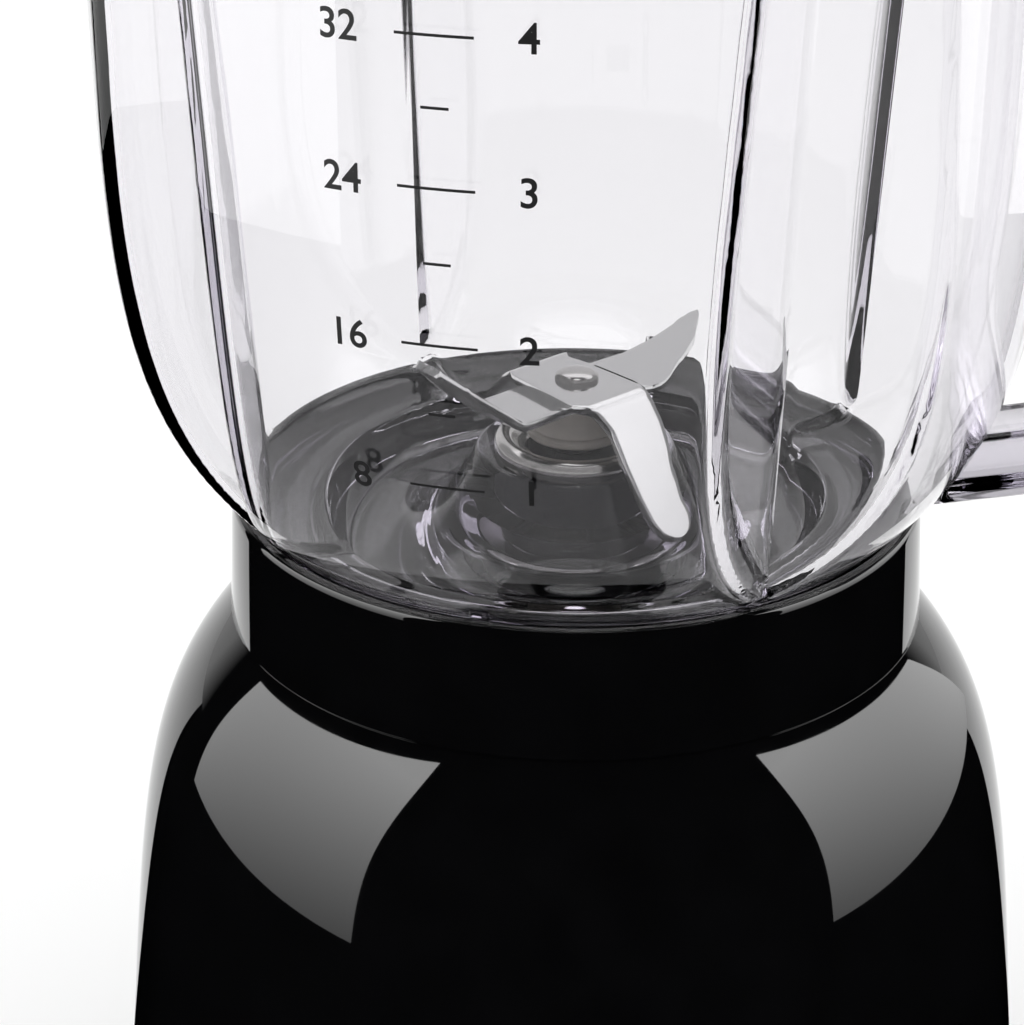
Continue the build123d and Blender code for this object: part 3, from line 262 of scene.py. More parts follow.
def glowing(name, strength_low, strength_high, height):
    """A card that glows more towards its top, and lets light that came through plastic pass."""
    material = bpy.data.materials.new(name)
    material.use_nodes = True
    tree = material.node_tree
    tree.nodes.clear()
    out = tree.nodes.new("ShaderNodeOutputMaterial")
    glow = tree.nodes.new("ShaderNodeEmission")
    passing = tree.nodes.new("ShaderNodeBsdfTransparent")
    either = tree.nodes.new("ShaderNodeMixShader")
    path = tree.nodes.new("ShaderNodeLightPath")
    place = tree.nodes.new("ShaderNodeTexCoord")
    parts = tree.nodes.new("ShaderNodeSeparateXYZ")
    rise = tree.nodes.new("ShaderNodeMapRange")
    rise.inputs["From Max"].default_value = height
    rise.inputs["To Min"].default_value = strength_low
    rise.inputs["To Max"].default_value = strength_high
    tree.links.new(place.outputs["Object"], parts.inputs["Vector"])
    tree.links.new(parts.outputs["Z"], rise.inputs["Value"])
    tree.links.new(rise.outputs["Result"], glow.inputs["Strength"])
    tree.links.new(path.outputs["Is Transmission Ray"], either.inputs["Fac"])
    tree.links.new(glow.outputs["Emission"], either.inputs[1])
    tree.links.new(passing.outputs["BSDF"], either.inputs[2])
    tree.links.new(either.outputs["Shader"], out.inputs["Surface"])
    return material


# %% [markdown]
# ## Soft lights
#
# Two tall soft boxes stand left and right of the object, a little in front. Their faces show as
# two large clear shapes on the housing's shoulder, brightest at the top. A third, overhead, evens
# the floor. A black card lies on the floor in front, for reflections only. Cards let pass any
# light that has come through the clear plastic.

# %% Soft boxes
BOX_DISTANCE = 0.55
left_corners = [(-114, 0.293), (-49, 0.672), (-54, 0.004), (-115, 0.018)]
right_corners = [(63, 0.586), (124, 0.218), (137, 0.004), (63, 0.015)]
left_box = curved_card("left_soft_box", left_corners, BOX_DISTANCE)
right_box = curved_card("right_soft_box", right_corners, BOX_DISTANCE)
left_box.data.materials.append(glowing("left glow", 1.2, 6.0, 0.55))
right_box.data.materials.append(glowing("right glow", 1.2, 6.0, 0.5))
only_reflected(left_box)
only_reflected(right_box)

bpy.ops.object.light_add(type="AREA", location=(0, 0, 1.6))
overhead = bpy.context.object
overhead.name = "overhead"
overhead.data.shape = "DISK"
overhead.data.size = 1.6
overhead.data.energy = 8
overhead.visible_glossy = False

# %% Black card on the floor in front
bpy.ops.object.select_all(action="DESELECT")
bpy.ops.mesh.primitive_grid_add(x_subdivisions=48, y_subdivisions=2, size=1)
floor_card = bpy.context.object
floor_card.name = "floor_card"
CARD_HALF_TURN = radians(130)
CARD_START, CARD_LENGTH = 0.074, 3.2
for vertex in floor_card.data.vertices:
    turn = CARD_HALF_TURN * 2 * vertex.co.x
    reach = CARD_START + CARD_LENGTH * (vertex.co.y + 0.5)
    vertex.co = reach * (sin(turn) * to_right + cos(turn) * to_back) + Vector((0, 0, 0.5 * MM))
floor_card.data.materials.append(glowing("black card", 0, 0, 1))
only_reflected(floor_card)


# %% [markdown]
# ## Finishes
#
# Every finish is a Principled shader with a little life in it: moulded plastic has a faint orange
# peel, turned metal has fine lines round its axis, rubber is slightly uneven. The clear plastic
# also takes in light over distance, so that its thick edges come out dark and purple-grey.

# %% Plastics and rubbers
def moulded(name, colour, roughness, peel=0.004 * MM, peel_size=2.0 * MM, lighter=1.25):
    """Moulded plastic or rubber."""
    material, tree, shader = new_material(name)
    texture = noise(tree, peel_size)
    two_tones(tree, shader, texture.outputs["Fac"], colour, [min(1, c * lighter) for c in colour])
    fine = noise(tree, 0.35 * MM, 2.0)
    level = between(tree, fine.outputs["Fac"], roughness * 0.85, roughness * 1.15)
    tree.links.new(level, shader.inputs["Roughness"])
    bumps(tree, shader, texture.outputs["Fac"], peel)
    return material


def gloss_black(name):
    """Black gloss moulding: almost a mirror."""
    material, tree, shader = new_material(name)
    texture = noise(tree, 9 * MM, 2.0)
    darker, lighter = (0.0015, 0.0015, 0.0017), (0.0022, 0.0022, 0.0025)
    two_tones(tree, shader, texture.outputs["Fac"], darker, lighter)
    level = between(tree, texture.outputs["Fac"], 0.02, 0.035)
    tree.links.new(level, shader.inputs["Roughness"])
    bumps(tree, shader, texture.outputs["Fac"], 0.002 * MM)
    shader.inputs["IOR"].default_value = 1.5
    return material


def lined_metal(name, colour, roughness, line=0.12 * MM, stretch=(1, 1, 12), depth=0.002 * MM):
    """Metal with fine lines across the stretched axis."""
    material, tree, shader = new_material(name)
    texture = noise(tree, line, 2.0, stretch)
    two_tones(tree, shader, texture.outputs["Fac"], [c * 0.92 for c in colour], colour)
    level = between(tree, texture.outputs["Fac"], roughness * 0.8, roughness * 1.3)
    tree.links.new(level, shader.inputs["Roughness"])
    bumps(tree, shader, texture.outputs["Fac"], depth)
    shader.inputs["Metallic"].default_value = 1.0
    return material


def clear(name, taken, tint=(1, 1, 1), roughness=0.0, ior=1.53):
    """Clear plastic that takes in light over distance, taken is per metre for red, green, blue."""
    material, tree, shader = new_material(name)
    shader.inputs["Base Color"].default_value = (*tint, 1)
    shader.inputs["Roughness"].default_value = roughness
    shader.inputs["Transmission Weight"].default_value = 1.0
    shader.inputs["IOR"].default_value = ior
    texture = noise(tree, 14 * MM, 1.0)
    bumps(tree, shader, texture.outputs["Fac"], 0.004 * MM)
    most = max(taken) * 1.25
    inside = tree.nodes.new("ShaderNodeVolumeAbsorption")
    inside.inputs["Color"].default_value = (*[1 - t / most for t in taken], 1)
    inside.inputs["Density"].default_value = most
    tree.links.new(inside.outputs["Volume"], tree.nodes["Material Output"].inputs["Volume"])
    return material


finishes = {
    "gloss_black": gloss_black("gloss black moulding"),
    "collar_black": gloss_black("collar gloss black"),
    "black_plastic": moulded("satin black plastic", (0.012, 0.012, 0.013), 0.4),
    "rubber": moulded("foot rubber", (0.02, 0.02, 0.02), 0.75, 0.02 * MM, 0.8 * MM),
    "gasket_rubber": moulded("gasket rubber", (0.08, 0.08, 0.085), 0.6, 0.01 * MM, 1 * MM),
    "coupling_rubber": moulded("coupling rubber", (0.02, 0.02, 0.022), 0.55, 0.01 * MM, 1 * MM),
    "switch_plastic": moulded("switch plastic", (0.03, 0.03, 0.034), 0.45),
    "button_grey": moulded("button grey", (0.22, 0.22, 0.23), 0.28),
    "fan_plastic": moulded("fan plastic", (0.6, 0.58, 0.52), 0.45),
    "board": moulded("circuit board", (0.02, 0.13, 0.05), 0.4, lighter=1.5),
    "carbon": moulded("brush carbon", (0.02, 0.02, 0.021), 0.5, 0.01 * MM, 0.6 * MM),
    "spacer_plastic": moulded("pale spacer plastic", (0.62, 0.58, 0.53), 0.35, lighter=1.12),
    "zinc": lined_metal("zinc plate", (0.6, 0.6, 0.61), 0.3),
    "lamination": lined_metal(
        "stacked laminations", (0.28, 0.28, 0.29), 0.5, 0.5 * MM, (0.05, 0.05, 1)
    ),
    "copper": lined_metal("enamelled copper", (0.5, 0.2, 0.09), 0.35, 0.4 * MM, (1, 1, 8)),
    "bracket_aluminium": lined_metal(
        "cast aluminium", (0.62, 0.62, 0.63), 0.45, 0.6 * MM, (1, 1, 1)
    ),
    "bronze": lined_metal("sintered bronze", (0.42, 0.28, 0.14), 0.5, 0.3 * MM, (1, 1, 1)),
    "brass": lined_metal("brass", (0.66, 0.47, 0.2), 0.3),
    "commutator_copper": lined_metal("turned copper", (0.62, 0.3, 0.17), 0.25),
    "shaft_steel": lined_metal("ground steel", (0.6, 0.59, 0.58), 0.16),
    "cup_steel": lined_metal(
        "polished cup steel", (0.66, 0.65, 0.63), 0.17, 0.1 * MM, (1, 1, 14)
    ),
    "blade_steel": lined_metal(
        "blade steel", (0.7, 0.7, 0.7), 0.12, 0.15 * MM, (9, 9, 1), 0.0006 * MM
    ),
    "clear_plastic": clear("clear jug plastic", (22, 24, 19)),
    "clear_cap": clear("clear cap plastic", (18, 19, 16)),
}
for part in frame["record"]["subparts"]:
    node = frame["nodes"][part["node"]]
    node.data.materials.clear()
    node.data.materials.append(finishes[part["material_slot"]])
print(len(finishes), "finishes on", len(frame["nodes"]), "nodes")


# %% [markdown]
# ## Turned parts
#
# The housing and the collar carry long clean reflections, so they get a much finer surface than
# the CAD facets. Each is a grid whose columns are wrapped round the axis and whose rows follow a
# closed outline, with the first and last rows and columns merged.

# %% Helpers for turned parts
def curve(points, steps):
    """Points along a Bezier curve with these control points."""
    found = []
    for step in range(steps + 1):
        t = step / steps
        level = [Vector(p) for p in points]
        while len(level) > 1:
            level = [a.lerp(b, t) for a, b in zip(level, level[1:])]
        found.append(tuple(level[0]))
    return found


def wrapped(name, columns, outline_at, rows):
    """A closed skin: columns are angles, outline_at(angle) gives rows points (radius, height)."""
    bpy.ops.object.select_all(action="DESELECT")
    across = len(columns)
    bpy.ops.mesh.primitive_grid_add(x_subdivisions=across, y_subdivisions=rows, size=1)
    skin = bpy.context.object
    skin.name = name
    places = []
    for angle in list(columns) + [columns[0]]:
        outline = outline_at(angle)
        places.append([(r * cos(angle), r * sin(angle), z) for r, z in outline + [outline[0]]])
    for vertex in skin.data.vertices:
        column = round((vertex.co.x + 0.5) * across)
        row = round((vertex.co.y + 0.5) * rows)
        vertex.co = places[column][row]
    tidy(skin)
    return skin


def tidy(piece, angle=30):
    """Merges doubles, turns all faces outwards and smooths the shading."""
    bpy.ops.object.select_all(action="DESELECT")
    piece.select_set(True)
    bpy.context.view_layer.objects.active = piece
    bpy.ops.object.mode_set(mode="EDIT")
    bpy.ops.mesh.select_all(action="SELECT")
    bpy.ops.mesh.remove_doubles(threshold=0.002 * MM)
    bpy.ops.mesh.normals_make_consistent(inside=False)
    bpy.ops.object.mode_set(mode="OBJECT")
    bpy.ops.object.shade_smooth_by_angle(angle=radians(angle))


def full_turn(count):
    """Evenly spaced angles all the way round."""
    return [2 * pi * step / count for step in range(count)]


def finish_piece(piece, body, slot, *nodes):
    """The finish, body and CAD node of a new piece."""
    piece.data.materials.clear()
    piece.data.materials.append(finishes[slot])
    if nodes:
        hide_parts(*nodes)
    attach(piece, body)
    print(piece.name, len(piece.data.polygons), "faces on", body)


# %% Housing
WALL = 3.0 * MM
BOTTOM = housing_low.z
SKIRT_TOP = 28 * MM
SHOULDER = 51.2 * MM
TOP_HOLE = 24 * MM
shoulder = [(SHOULDER, SEAM - 0.3 * MM), (SHOULDER + 16.05 * MM, SEAM - 17.6 * MM),
            (66.0 * MM, SKIRT_TOP + 69.8 * MM), (72.1 * MM, SKIRT_TOP)]
skirt = [(72.1 * MM, SKIRT_TOP), (72.9 * MM, SKIRT_TOP - 9.2 * MM),
         (72.4 * MM, BOTTOM + 4 * MM), (70.6 * MM, BOTTOM)]
outside = curve(shoulder, 60) + curve(skirt, 14)[1:]
housing_outline = (
    [(TOP_HOLE, SEAM), (SHOULDER - 0.3 * MM, SEAM)]
    + outside
    + [(70.0 * MM, BOTTOM), (67.6 * MM, BOTTOM), (69.1 * MM, SKIRT_TOP)]
    + [(p[0] - WALL, p[1]) for p in curve(shoulder, 10)[-2:1:-1]]
    + [(SHOULDER - 2.2 * MM, SEAM - WALL), (TOP_HOLE, SEAM - WALL)]
)
housing = wrapped("housing", full_turn(192), lambda angle: housing_outline, len(housing_outline))


# %% Openings in the housing
def cut(piece, cutter):
    """Takes the cutter out of the piece."""
    bpy.ops.object.select_all(action="DESELECT")
    piece.select_set(True)
    bpy.context.view_layer.objects.active = piece
    boolean = piece.modifiers.new("cut", "BOOLEAN")
    boolean.object = cutter
    boolean.solver = "EXACT"
    bpy.ops.object.modifier_apply(modifier="cut")
    bpy.data.objects.remove(cutter)


front_way = Vector((sin(FRONT_TURN), -cos(FRONT_TURN), 0))
bezel_low, bezel_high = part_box("button_bezel")
panel_middle = (bezel_low.z + bezel_high.z) / 2
bpy.ops.object.select_all(action="DESELECT")
bpy.ops.mesh.primitive_cube_add(
    size=1,
    location=front_way * 68 * MM + Vector((0, 0, panel_middle)),
    rotation=(0, 0, FRONT_TURN),
    scale=(35.4 * MM, 30 * MM, 55.4 * MM),
)
cut(housing, bpy.context.object)
gland_low, gland_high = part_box("cord_gland")
bpy.ops.object.select_all(action="DESELECT")
bpy.ops.mesh.primitive_cylinder_add(
    vertices=48,
    radius=5.4 * MM,
    depth=24 * MM,
    location=-front_way * 70 * MM + Vector((0, 0, (gland_low.z + gland_high.z) / 2)),
    rotation=(pi / 2, 0, FRONT_TURN),
)
cut(housing, bpy.context.object)
tidy(housing)
finish_piece(housing, "base", "gloss_black", "base_housing")

# %% Collar
mouth = 48.9 * MM
collar_outline = (
    [(19 * MM, SEAM), (51.0 * MM, SEAM)]
    + curve([(51.0 * MM, SEAM), (51.6 * MM, SEAM), (51.6 * MM, SEAM + 0.6 * MM)], 4)[1:]
    + curve([(50.8 * MM, COLLAR_TOP - 1.4 * MM), (50.75 * MM, COLLAR_TOP), (49.7 * MM, COLLAR_TOP)], 8)
    + curve([(49.5 * MM, COLLAR_TOP), (48.95 * MM, COLLAR_TOP), (mouth, COLLAR_TOP - 0.6 * MM)], 5)
    + [(48.3 * MM, COLLAR_TOP - 3 * MM), (48.3 * MM, SEAM + 3.6 * MM), (47.7 * MM, SEAM + 3 * MM)]
    + [(21.6 * MM, SEAM + 3 * MM), (21.4 * MM, SEAM + 3.2 * MM), (21.4 * MM, SEAM + 7.7 * MM)]
    + [(21.1 * MM, SEAM + 8 * MM), (19.3 * MM, SEAM + 8 * MM), (19 * MM, SEAM + 7.7 * MM)]
)
collar = wrapped("collar_ring", full_turn(192), lambda angle: collar_outline, len(collar_outline))
finish_piece(collar, "base", "collar_black", "collar")

# %% [markdown]
# ## Jug
#
# The jug is one skin wrapped round the axis: outside wall, rounded rim, inside wall, bowl, floor
# with its cone, the hole for the blade unit, and back along the underside and the foot ring. Four
# flutes press both walls inwards, so the outline changes with the angle.

# %% Jug walls
FLOOR = COLLAR_TOP - 1.2 * MM
START = COLLAR_TOP - 0.2 * MM
FULL = START + 64 * MM        # the wall is straight above this
FLUTE_END = RIM - 16 * MM
HALF_ANGLE = radians(58)      # of each flute's wedge
VALLEY_SLOPE = 0.075          # the flutes lean outwards by this much of their height
OUTER_VALLEY = 51.0 * MM      # radius at a flute's bottom, near the floor
INNER_VALLEY = 47.7 * MM


def along(points, steps=400):
    """The radius of a Bezier curve at each height, as a function."""
    found = curve(points, steps)
    heights = [z for r, z in found]

    def radius(z):
        low, high = 0, steps
        while high - low > 1:
            middle = (low + high) // 2
            if heights[middle] <= z:
                low = middle
            else:
                high = middle
        share = (z - heights[low]) / (heights[high] - heights[low])
        return found[low][0] + (found[high][0] - found[low][0]) * max(0, min(1, share))

    return radius


outer_bowl = along([(48.5 * MM, START), (62.5 * MM, START + 12.5 * MM),
                    (66.8 * MM, START + 26 * MM), (67.3 * MM, FULL)])
inner_bowl = along([(44.1 * MM, FLOOR), (58.5 * MM, FLOOR + 10 * MM),
                    (64.0 * MM, START + 25.5 * MM), (64.5 * MM, FULL)])


def lobe(z, bowl, full, top):
    """The plain wall's radius at a height."""
    if z < FULL:
        return bowl(z)
    return full + (top - full) * (z - FULL) / (RIM - FULL)


def flute_turn(angle):
    """The angle from the nearest flute's middle."""
    return (degrees(angle) % 90) - 45


def softer(a, b, reach):
    """The smaller of two radii, blended where they are within reach."""
    share = max(0, min(1, 0.5 + 0.5 * (b - a) / reach))
    return b + (a - b) * share - reach * share * (1 - share)


def flute(z, angle, valley, rounding):
    """The flute's radius: a wedge with a rounded bottom that fades out near the rim."""
    turn = radians(flute_turn(angle))
    sideways = hypot(sin(turn), rounding)
    fade = max(0, z - (FLUTE_END - 9 * MM)) / (14 * MM)
    bottom = valley + VALLEY_SLOPE * (z - FLOOR - 5 * MM) + 18 * MM * fade * fade
    return bottom / max(0.2, cos(turn) - sideways / tan(HALF_ANGLE))


SPOUT_HEIGHT = 22 * MM
SPOUT_REACH = 8.6 * MM
SPOUT_HALF_WIDTH = 15         # degrees


def spout(z, angle):
    """How far the pouring spout swells out."""
    turn = degrees(angle) - 180
    rise = max(0, (z - (RIM - SPOUT_HEIGHT)) / SPOUT_HEIGHT)
    beside = max(0, cos(radians(min(90, abs(turn) * 90 / SPOUT_HALF_WIDTH))))
    return SPOUT_REACH * rise ** 1.3 * beside ** 1.4


def outer_wall(z, angle):
    """Outside radius of the jug."""
    plain = lobe(z, outer_bowl, 67.3 * MM, 68.4 * MM)
    pressed = softer(plain, flute(z, angle, OUTER_VALLEY, 0.006), 0.8 * MM)
    return min(plain, pressed) + spout(z, angle)


def inner_wall(z, angle):
    """Inside radius of the jug."""
    plain = lobe(z, inner_bowl, 64.5 * MM, 65.6 * MM)
    pressed = softer(plain, flute(z, angle, INNER_VALLEY, 0.022), 1.6 * MM)
    return min(plain, pressed) + spout(z, angle)


RIB_START, RIB_LENGTH = 36 * MM, 14 * MM


def rib(reach, angle):
    """Low ribs carry the flutes on across the floor."""
    sideways = reach * sin(radians(flute_turn(angle)))
    if not RIB_START < reach < RIB_START + RIB_LENGTH:
        return 0
    ends = sin(pi * (reach - RIB_START) / RIB_LENGTH) ** 0.5
    return 1.5 * MM * ends * 2.718 ** (-((sideways / (1.3 * MM)) ** 2))


def lug(z, angle):
    """Four small lugs on the outside, just above the collar."""
    turn = abs(((degrees(angle) + 45) % 90) - 45)
    height = (z - (START + 1.4 * MM)) / (1.2 * MM)
    beside = max(0, 1 - max(turn - 1.2, 0) / 0.5)
    return 1.0 * MM * beside * max(0, min(1, 3 * (1 - abs(height))))


# %% Jug floor
TROUGH = FLOOR - 5 * MM
cone = curve([(28 * MM, TROUGH), (20.5 * MM, TROUGH + 0.5 * MM), (17.3 * MM, FLOOR + 2.3 * MM),
              (14.6 * MM, FLOOR + 6.6 * MM)], 20)
cone += curve([(14.6 * MM, FLOOR + 6.6 * MM), (14.3 * MM, FLOOR + 6.8 * MM),
               (13.9 * MM, FLOOR + 6.8 * MM)], 4)[1:]
ledge = curve([(42.5 * MM, FLOOR + 1.0 * MM), (40.5 * MM, FLOOR + 0.6 * MM), (38.4 * MM, FLOOR + 0.7 * MM),
               (37.4 * MM, FLOOR + 0.5 * MM)], 6)
ledge += curve([(37.4 * MM, FLOOR + 0.5 * MM), (36.4 * MM, FLOOR + 0.3 * MM), (36.0 * MM, TROUGH + 2.4 * MM),
                (34.6 * MM, TROUGH + 0.2 * MM), (32.6 * MM, TROUGH)], 12)[1:]
EDGE = 1.4 * MM               # height of the rim's rounding
BOWL_START = 3.4 * MM         # height of the inside wall's first row above the floor
bowl_heights = [
    FLOOR + BOWL_START + (FLUTE_END - FLOOR) * (step / 60) ** 1.35 for step in range(61)
]
bowl_heights += [
    FLUTE_END + BOWL_START + (RIM - FLUTE_END - 5.0 * MM) * step / 10 for step in range(1, 11)
]
outer_heights = [START + (FLUTE_END - START) * (step / 70) ** 1.5 for step in range(71)]
outer_heights += [FLUTE_END + (RIM - FLUTE_END - EDGE) * step / 10 for step in range(1, 11)]


def jug_outline(angle):
    """The jug's closed outline at one angle."""
    points = [(45.4 * MM + 1.5 * MM, SEAM + 3.4 * MM), (47.5 * MM, SEAM + 4.2 * MM)]
    points += [(47.5 * MM, START - 4.0 * MM), (47.7 * MM, START - 2.0 * MM)]
    points += [(outer_wall(z, angle) + lug(z, angle), z) for z in outer_heights]
    outside, inside_top = outer_wall(RIM, angle), inner_wall(RIM, angle)
    middle = (outside + inside_top) / 2
    half = (outside - inside_top) / 2
    points += [(middle + half * cos(t), RIM - EDGE + EDGE * sin(t))
               for t in (pi * s / 8 for s in range(1, 8))]
    points += [(inner_wall(z, angle), z) for z in reversed(bowl_heights)]
    wall_end = inner_wall(bowl_heights[0], angle)
    fillet = curve([(wall_end, bowl_heights[0]), (wall_end - 1.6 * MM, FLOOR + 1.5 * MM),
                    (44.5 * MM, FLOOR + 1.3 * MM), (42.5 * MM, FLOOR + 1.0 * MM)], 10)[1:]
    floor_points = fillet + ledge[1:] + [(30 * MM, TROUGH)] + cone
    points += [(r, z + rib(r, angle)) for r, z in floor_points]
    points += [(8.6 * MM, FLOOR + 6.8 * MM), (8.15 * MM, FLOOR + 6.4 * MM)]
    points += [(8.15 * MM, FLOOR - 2.8 * MM)]
    points += [(8.3 * MM, FLOOR - 3 * MM), (19.6 * MM, FLOOR - 3 * MM), (20.6 * MM, FLOOR - 3.4 * MM)]
    points += [(22.6 * MM, TROUGH - 2.4 * MM), (23.6 * MM, TROUGH - 3 * MM), (35.6 * MM, TROUGH - 3 * MM)]
    points += [(37.0 * MM, TROUGH - 2.4 * MM), (39.0 * MM, FLOOR - 3.4 * MM), (40.4 * MM, FLOOR - 3 * MM)]
    points += [(43.4 * MM, FLOOR - 3 * MM)]
    points += [(44.1 * MM, FLOOR - 4 * MM), (44.1 * MM, SEAM + 4.0 * MM), (44.7 * MM, SEAM + 3.4 * MM)]
    return points


jug_angles = []
for quarter in range(4):
    start = pi / 2 * quarter
    for first, last, count in ((0, 3, 9), (3, 25, 9), (25, 65, 50), (65, 87, 9), (87, 90, 9)):
        jug_angles += [start + radians(first + (last - first) * step / count) for step in range(count)]
jug = wrapped("jug", jug_angles, jug_outline, len(jug_outline(0)))
finish_piece(jug, "jug", "clear_plastic", "jug_body")

# %% [markdown]
# ## Printed scale
#
# Fluid ounces on the left and cups on the right, with long marks at the cups and short marks
# between. Each mark is flat and lies on the wall, as print does.


# %% Scale
def printed(piece, turn, height):
    """Lays a flat piece on the jug's outside, turn degrees from -Y and centred at a height."""
    for vertex in piece.data.vertices:
        z = height + vertex.co.y
        around = radians(turn - 90)
        reach = outer_wall(z, around) + 0.03 * MM + vertex.co.z
        around += vertex.co.x / reach
        vertex.co = (reach * cos(around), reach * sin(around), z)
    piece.location = (0, 0, 0)


ink = moulded("scale ink", (0.012, 0.012, 0.013), 0.5)
marks = []
cup_levels = [173.1, 193.3, 213.7, 232.6, 251.4, 269.9, 288.0]      # the jug widens upwards
for cup_count in range(1, 7):
    level = cup_levels[cup_count - 1] * MM
    half_level = (cup_levels[cup_count - 1] + cup_levels[cup_count]) / 2 * MM + 0.6 * MM
    for words, turn in ((str(8 * cup_count), -10.4), (str(cup_count), 9.7)):
        bpy.ops.object.text_add(location=(0, 0, 0))
        number = bpy.context.object
        number.data.body = words
        number.data.size = 5.3 * MM
        number.data.align_x = "CENTER"
        number.data.align_y = "CENTER"
        number.data.extrude = 0.015 * MM
        number.data.offset = 0.06 * MM
        bpy.ops.object.convert(target="MESH")
        number = bpy.context.object
        printed(number, turn, level)
        marks.append(number)
    for width, height in ((9.8 * MM, level), (3.5 * MM, half_level)):
        bpy.ops.mesh.primitive_cube_add(size=1)
        line = bpy.context.object
        line.scale = (width, 0.36 * MM, 0.03 * MM)
        bpy.ops.object.transform_apply(scale=True)
        bpy.ops.object.mode_set(mode="EDIT")
        bpy.ops.mesh.subdivide(number_cuts=4)
        bpy.ops.object.mode_set(mode="OBJECT")
        printed(line, 0, height)
        marks.append(line)
bpy.ops.object.select_all(action="DESELECT")
for mark in marks:
    mark.select_set(True)
bpy.context.view_layer.objects.active = marks[0]
bpy.ops.object.join()
scale_print = bpy.context.object
scale_print.name = "printed_scale"
scale_print.data.materials.clear()
scale_print.data.materials.append(ink)
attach(scale_print, "jug")
print("printed scale", len(scale_print.data.polygons), "faces")

# %% [markdown]
# ## Blades
#
# Each blade is a strip of sheet steel: a grid laid out flat to its outline, bent at the folds with
# a real bend radius, then thickened, with its edges slightly broken.

# %% Helpers for blades
BEND = 3.0 * MM               # bend radius of the folds


def bent(reach, fold, tilt):
    """Where a point at a developed reach comes to lie: (distance from the axis, rise)."""
    turn = radians(abs(tilt))
    begin = fold - BEND * tan(turn / 2)
    sign = 1 if tilt > 0 else -1
    if reach <= begin:
        return reach, 0
    past = reach - begin
    if past < BEND * turn:
        return begin + BEND * sin(past / BEND), sign * BEND * (1 - cos(past / BEND))
    rest = past - BEND * turn
    return (begin + BEND * sin(turn) + rest * cos(turn),
            sign * (BEND * (1 - cos(turn)) + rest * sin(turn)))


def value_at(table, place):
    """The table's value at a place, in straight steps."""
    for (a, va), (b, vb) in zip(table, table[1:]):
        if place <= b:
            return va + (vb - va) * (place - a) / (b - a)
    return table[-1][1]


def sheet(name, stations, low_side, high_side, place, across=10):
    """A strip of sheet steel: its sides are tables along the stations."""
    bpy.ops.object.select_all(action="DESELECT")
    steps = len(stations) - 1
    bpy.ops.mesh.primitive_grid_add(x_subdivisions=steps, y_subdivisions=across, size=1)
    strip = bpy.context.object
    strip.name = name
    for vertex in strip.data.vertices:
        station = stations[round((vertex.co.x + 0.5) * steps)]
        low = value_at(low_side, station)
        high = value_at(high_side, station)
        side = low + (high - low) * (vertex.co.y + 0.5)
        vertex.co = place(station * MM, side * MM)
    return strip


def thicken(strip):
    """Thickness below the sheet's face, and slightly broken edges."""
    bpy.ops.object.select_all(action="DESELECT")
    strip.select_set(True)
    bpy.context.view_layer.objects.active = strip
    solid = strip.modifiers.new("thickness", "SOLIDIFY")
    solid.thickness = BLADE_SHEET
    solid.offset = -1
    bpy.ops.object.modifier_apply(modifier="thickness")
    edge = strip.modifiers.new("edge", "BEVEL")
    edge.width = 0.1 * MM
    edge.segments = 2
    edge.limit_method = "ANGLE"
    edge.angle_limit = radians(50)
    bpy.ops.object.modifier_apply(modifier="edge")
    bpy.ops.object.shade_smooth_by_angle(angle=radians(35))


TIP = 3                       # millimetres of each end with closer stations


def spread(first, last, step):
    """Stations from first to last, closer together at both rounded ends."""
    count = int((last - first) / step)
    inner = [first + TIP + (last - first - 2 * TIP) * i / count for i in range(count + 1)]
    tips = [TIP * (1 - cos(pi / 2 * i / 8)) for i in range(9)]
    return [first + t for t in tips[:-1]] + inner + [last - t for t in reversed(tips[:-1])]


def rounded_tip(table, tip, middle, length):
    """The side's table with its last stretch rounded in to the tip's middle."""
    kept = [row for row in table if row[0] < tip - length]
    edge = value_at(table, tip - length)
    arc = []
    for i in range(13):
        t = pi / 2 * i / 12
        arc.append((tip - length + length * sin(t), middle + (edge - middle) * cos(t)))
    return kept + arc


# %% Upper blade
FLAT_TURN = radians(58)
flat_way = Vector((cos(FLAT_TURN), sin(FLAT_TURN), 0))
down_way = Vector((sin(FLAT_TURN), -cos(FLAT_TURN), 0))


def on_upper(reach, side):
    """Across the hub and both folded arms: reach runs along the folded arms."""
    distance, rise = bent(abs(reach), 9 * MM, -41.5)
    distance = distance if reach > 0 else -distance
    return down_way * distance + flat_way * side + Vector((0, 0, HUB_TOP + rise))


near_side = [(0, -7.0), (6.7, -7.4), (9, -6.3), (10.2, -5.4), (13.5, -4.7), (19, -5.85),
             (24, -6.55), (31, -6.8)]
far_side = [(0, 5.3), (9, 5.2), (11, 5.1), (14.7, 4.5), (17.8, 3.5), (21.6, 1.9),
            (26.1, 0.3), (31, 0.4)]
near_side = rounded_tip(near_side, 30.6, -3.2, 3.4)
far_side = rounded_tip(far_side, 30.6, -3.2, 3.4)
low_table = [(-s, -v) for s, v in reversed(far_side) if s >= 9] + [(-7.4, -6.2), (6.7, -7.6)]
low_table += [row for row in near_side if row[0] >= 9]
high_table = [(-s, -v) for s, v in reversed(near_side) if s >= 9]
high_table += [(-7, 4.8), (-1.7, 5.6), (6, 5.6)]
high_table += [row for row in far_side if row[0] >= 9]
stations = sorted(set(spread(-30.6, 30.6, 0.8)))
folded = sheet("upper_folded", stations, low_table, high_table, on_upper, 12)
arm_low = rounded_tip([(5.2, -1.9), (10, -2.3), (18.6, -3.8), (26, -6.0), (33.4, -8.6)], 33.4, -7.3, 2.2)
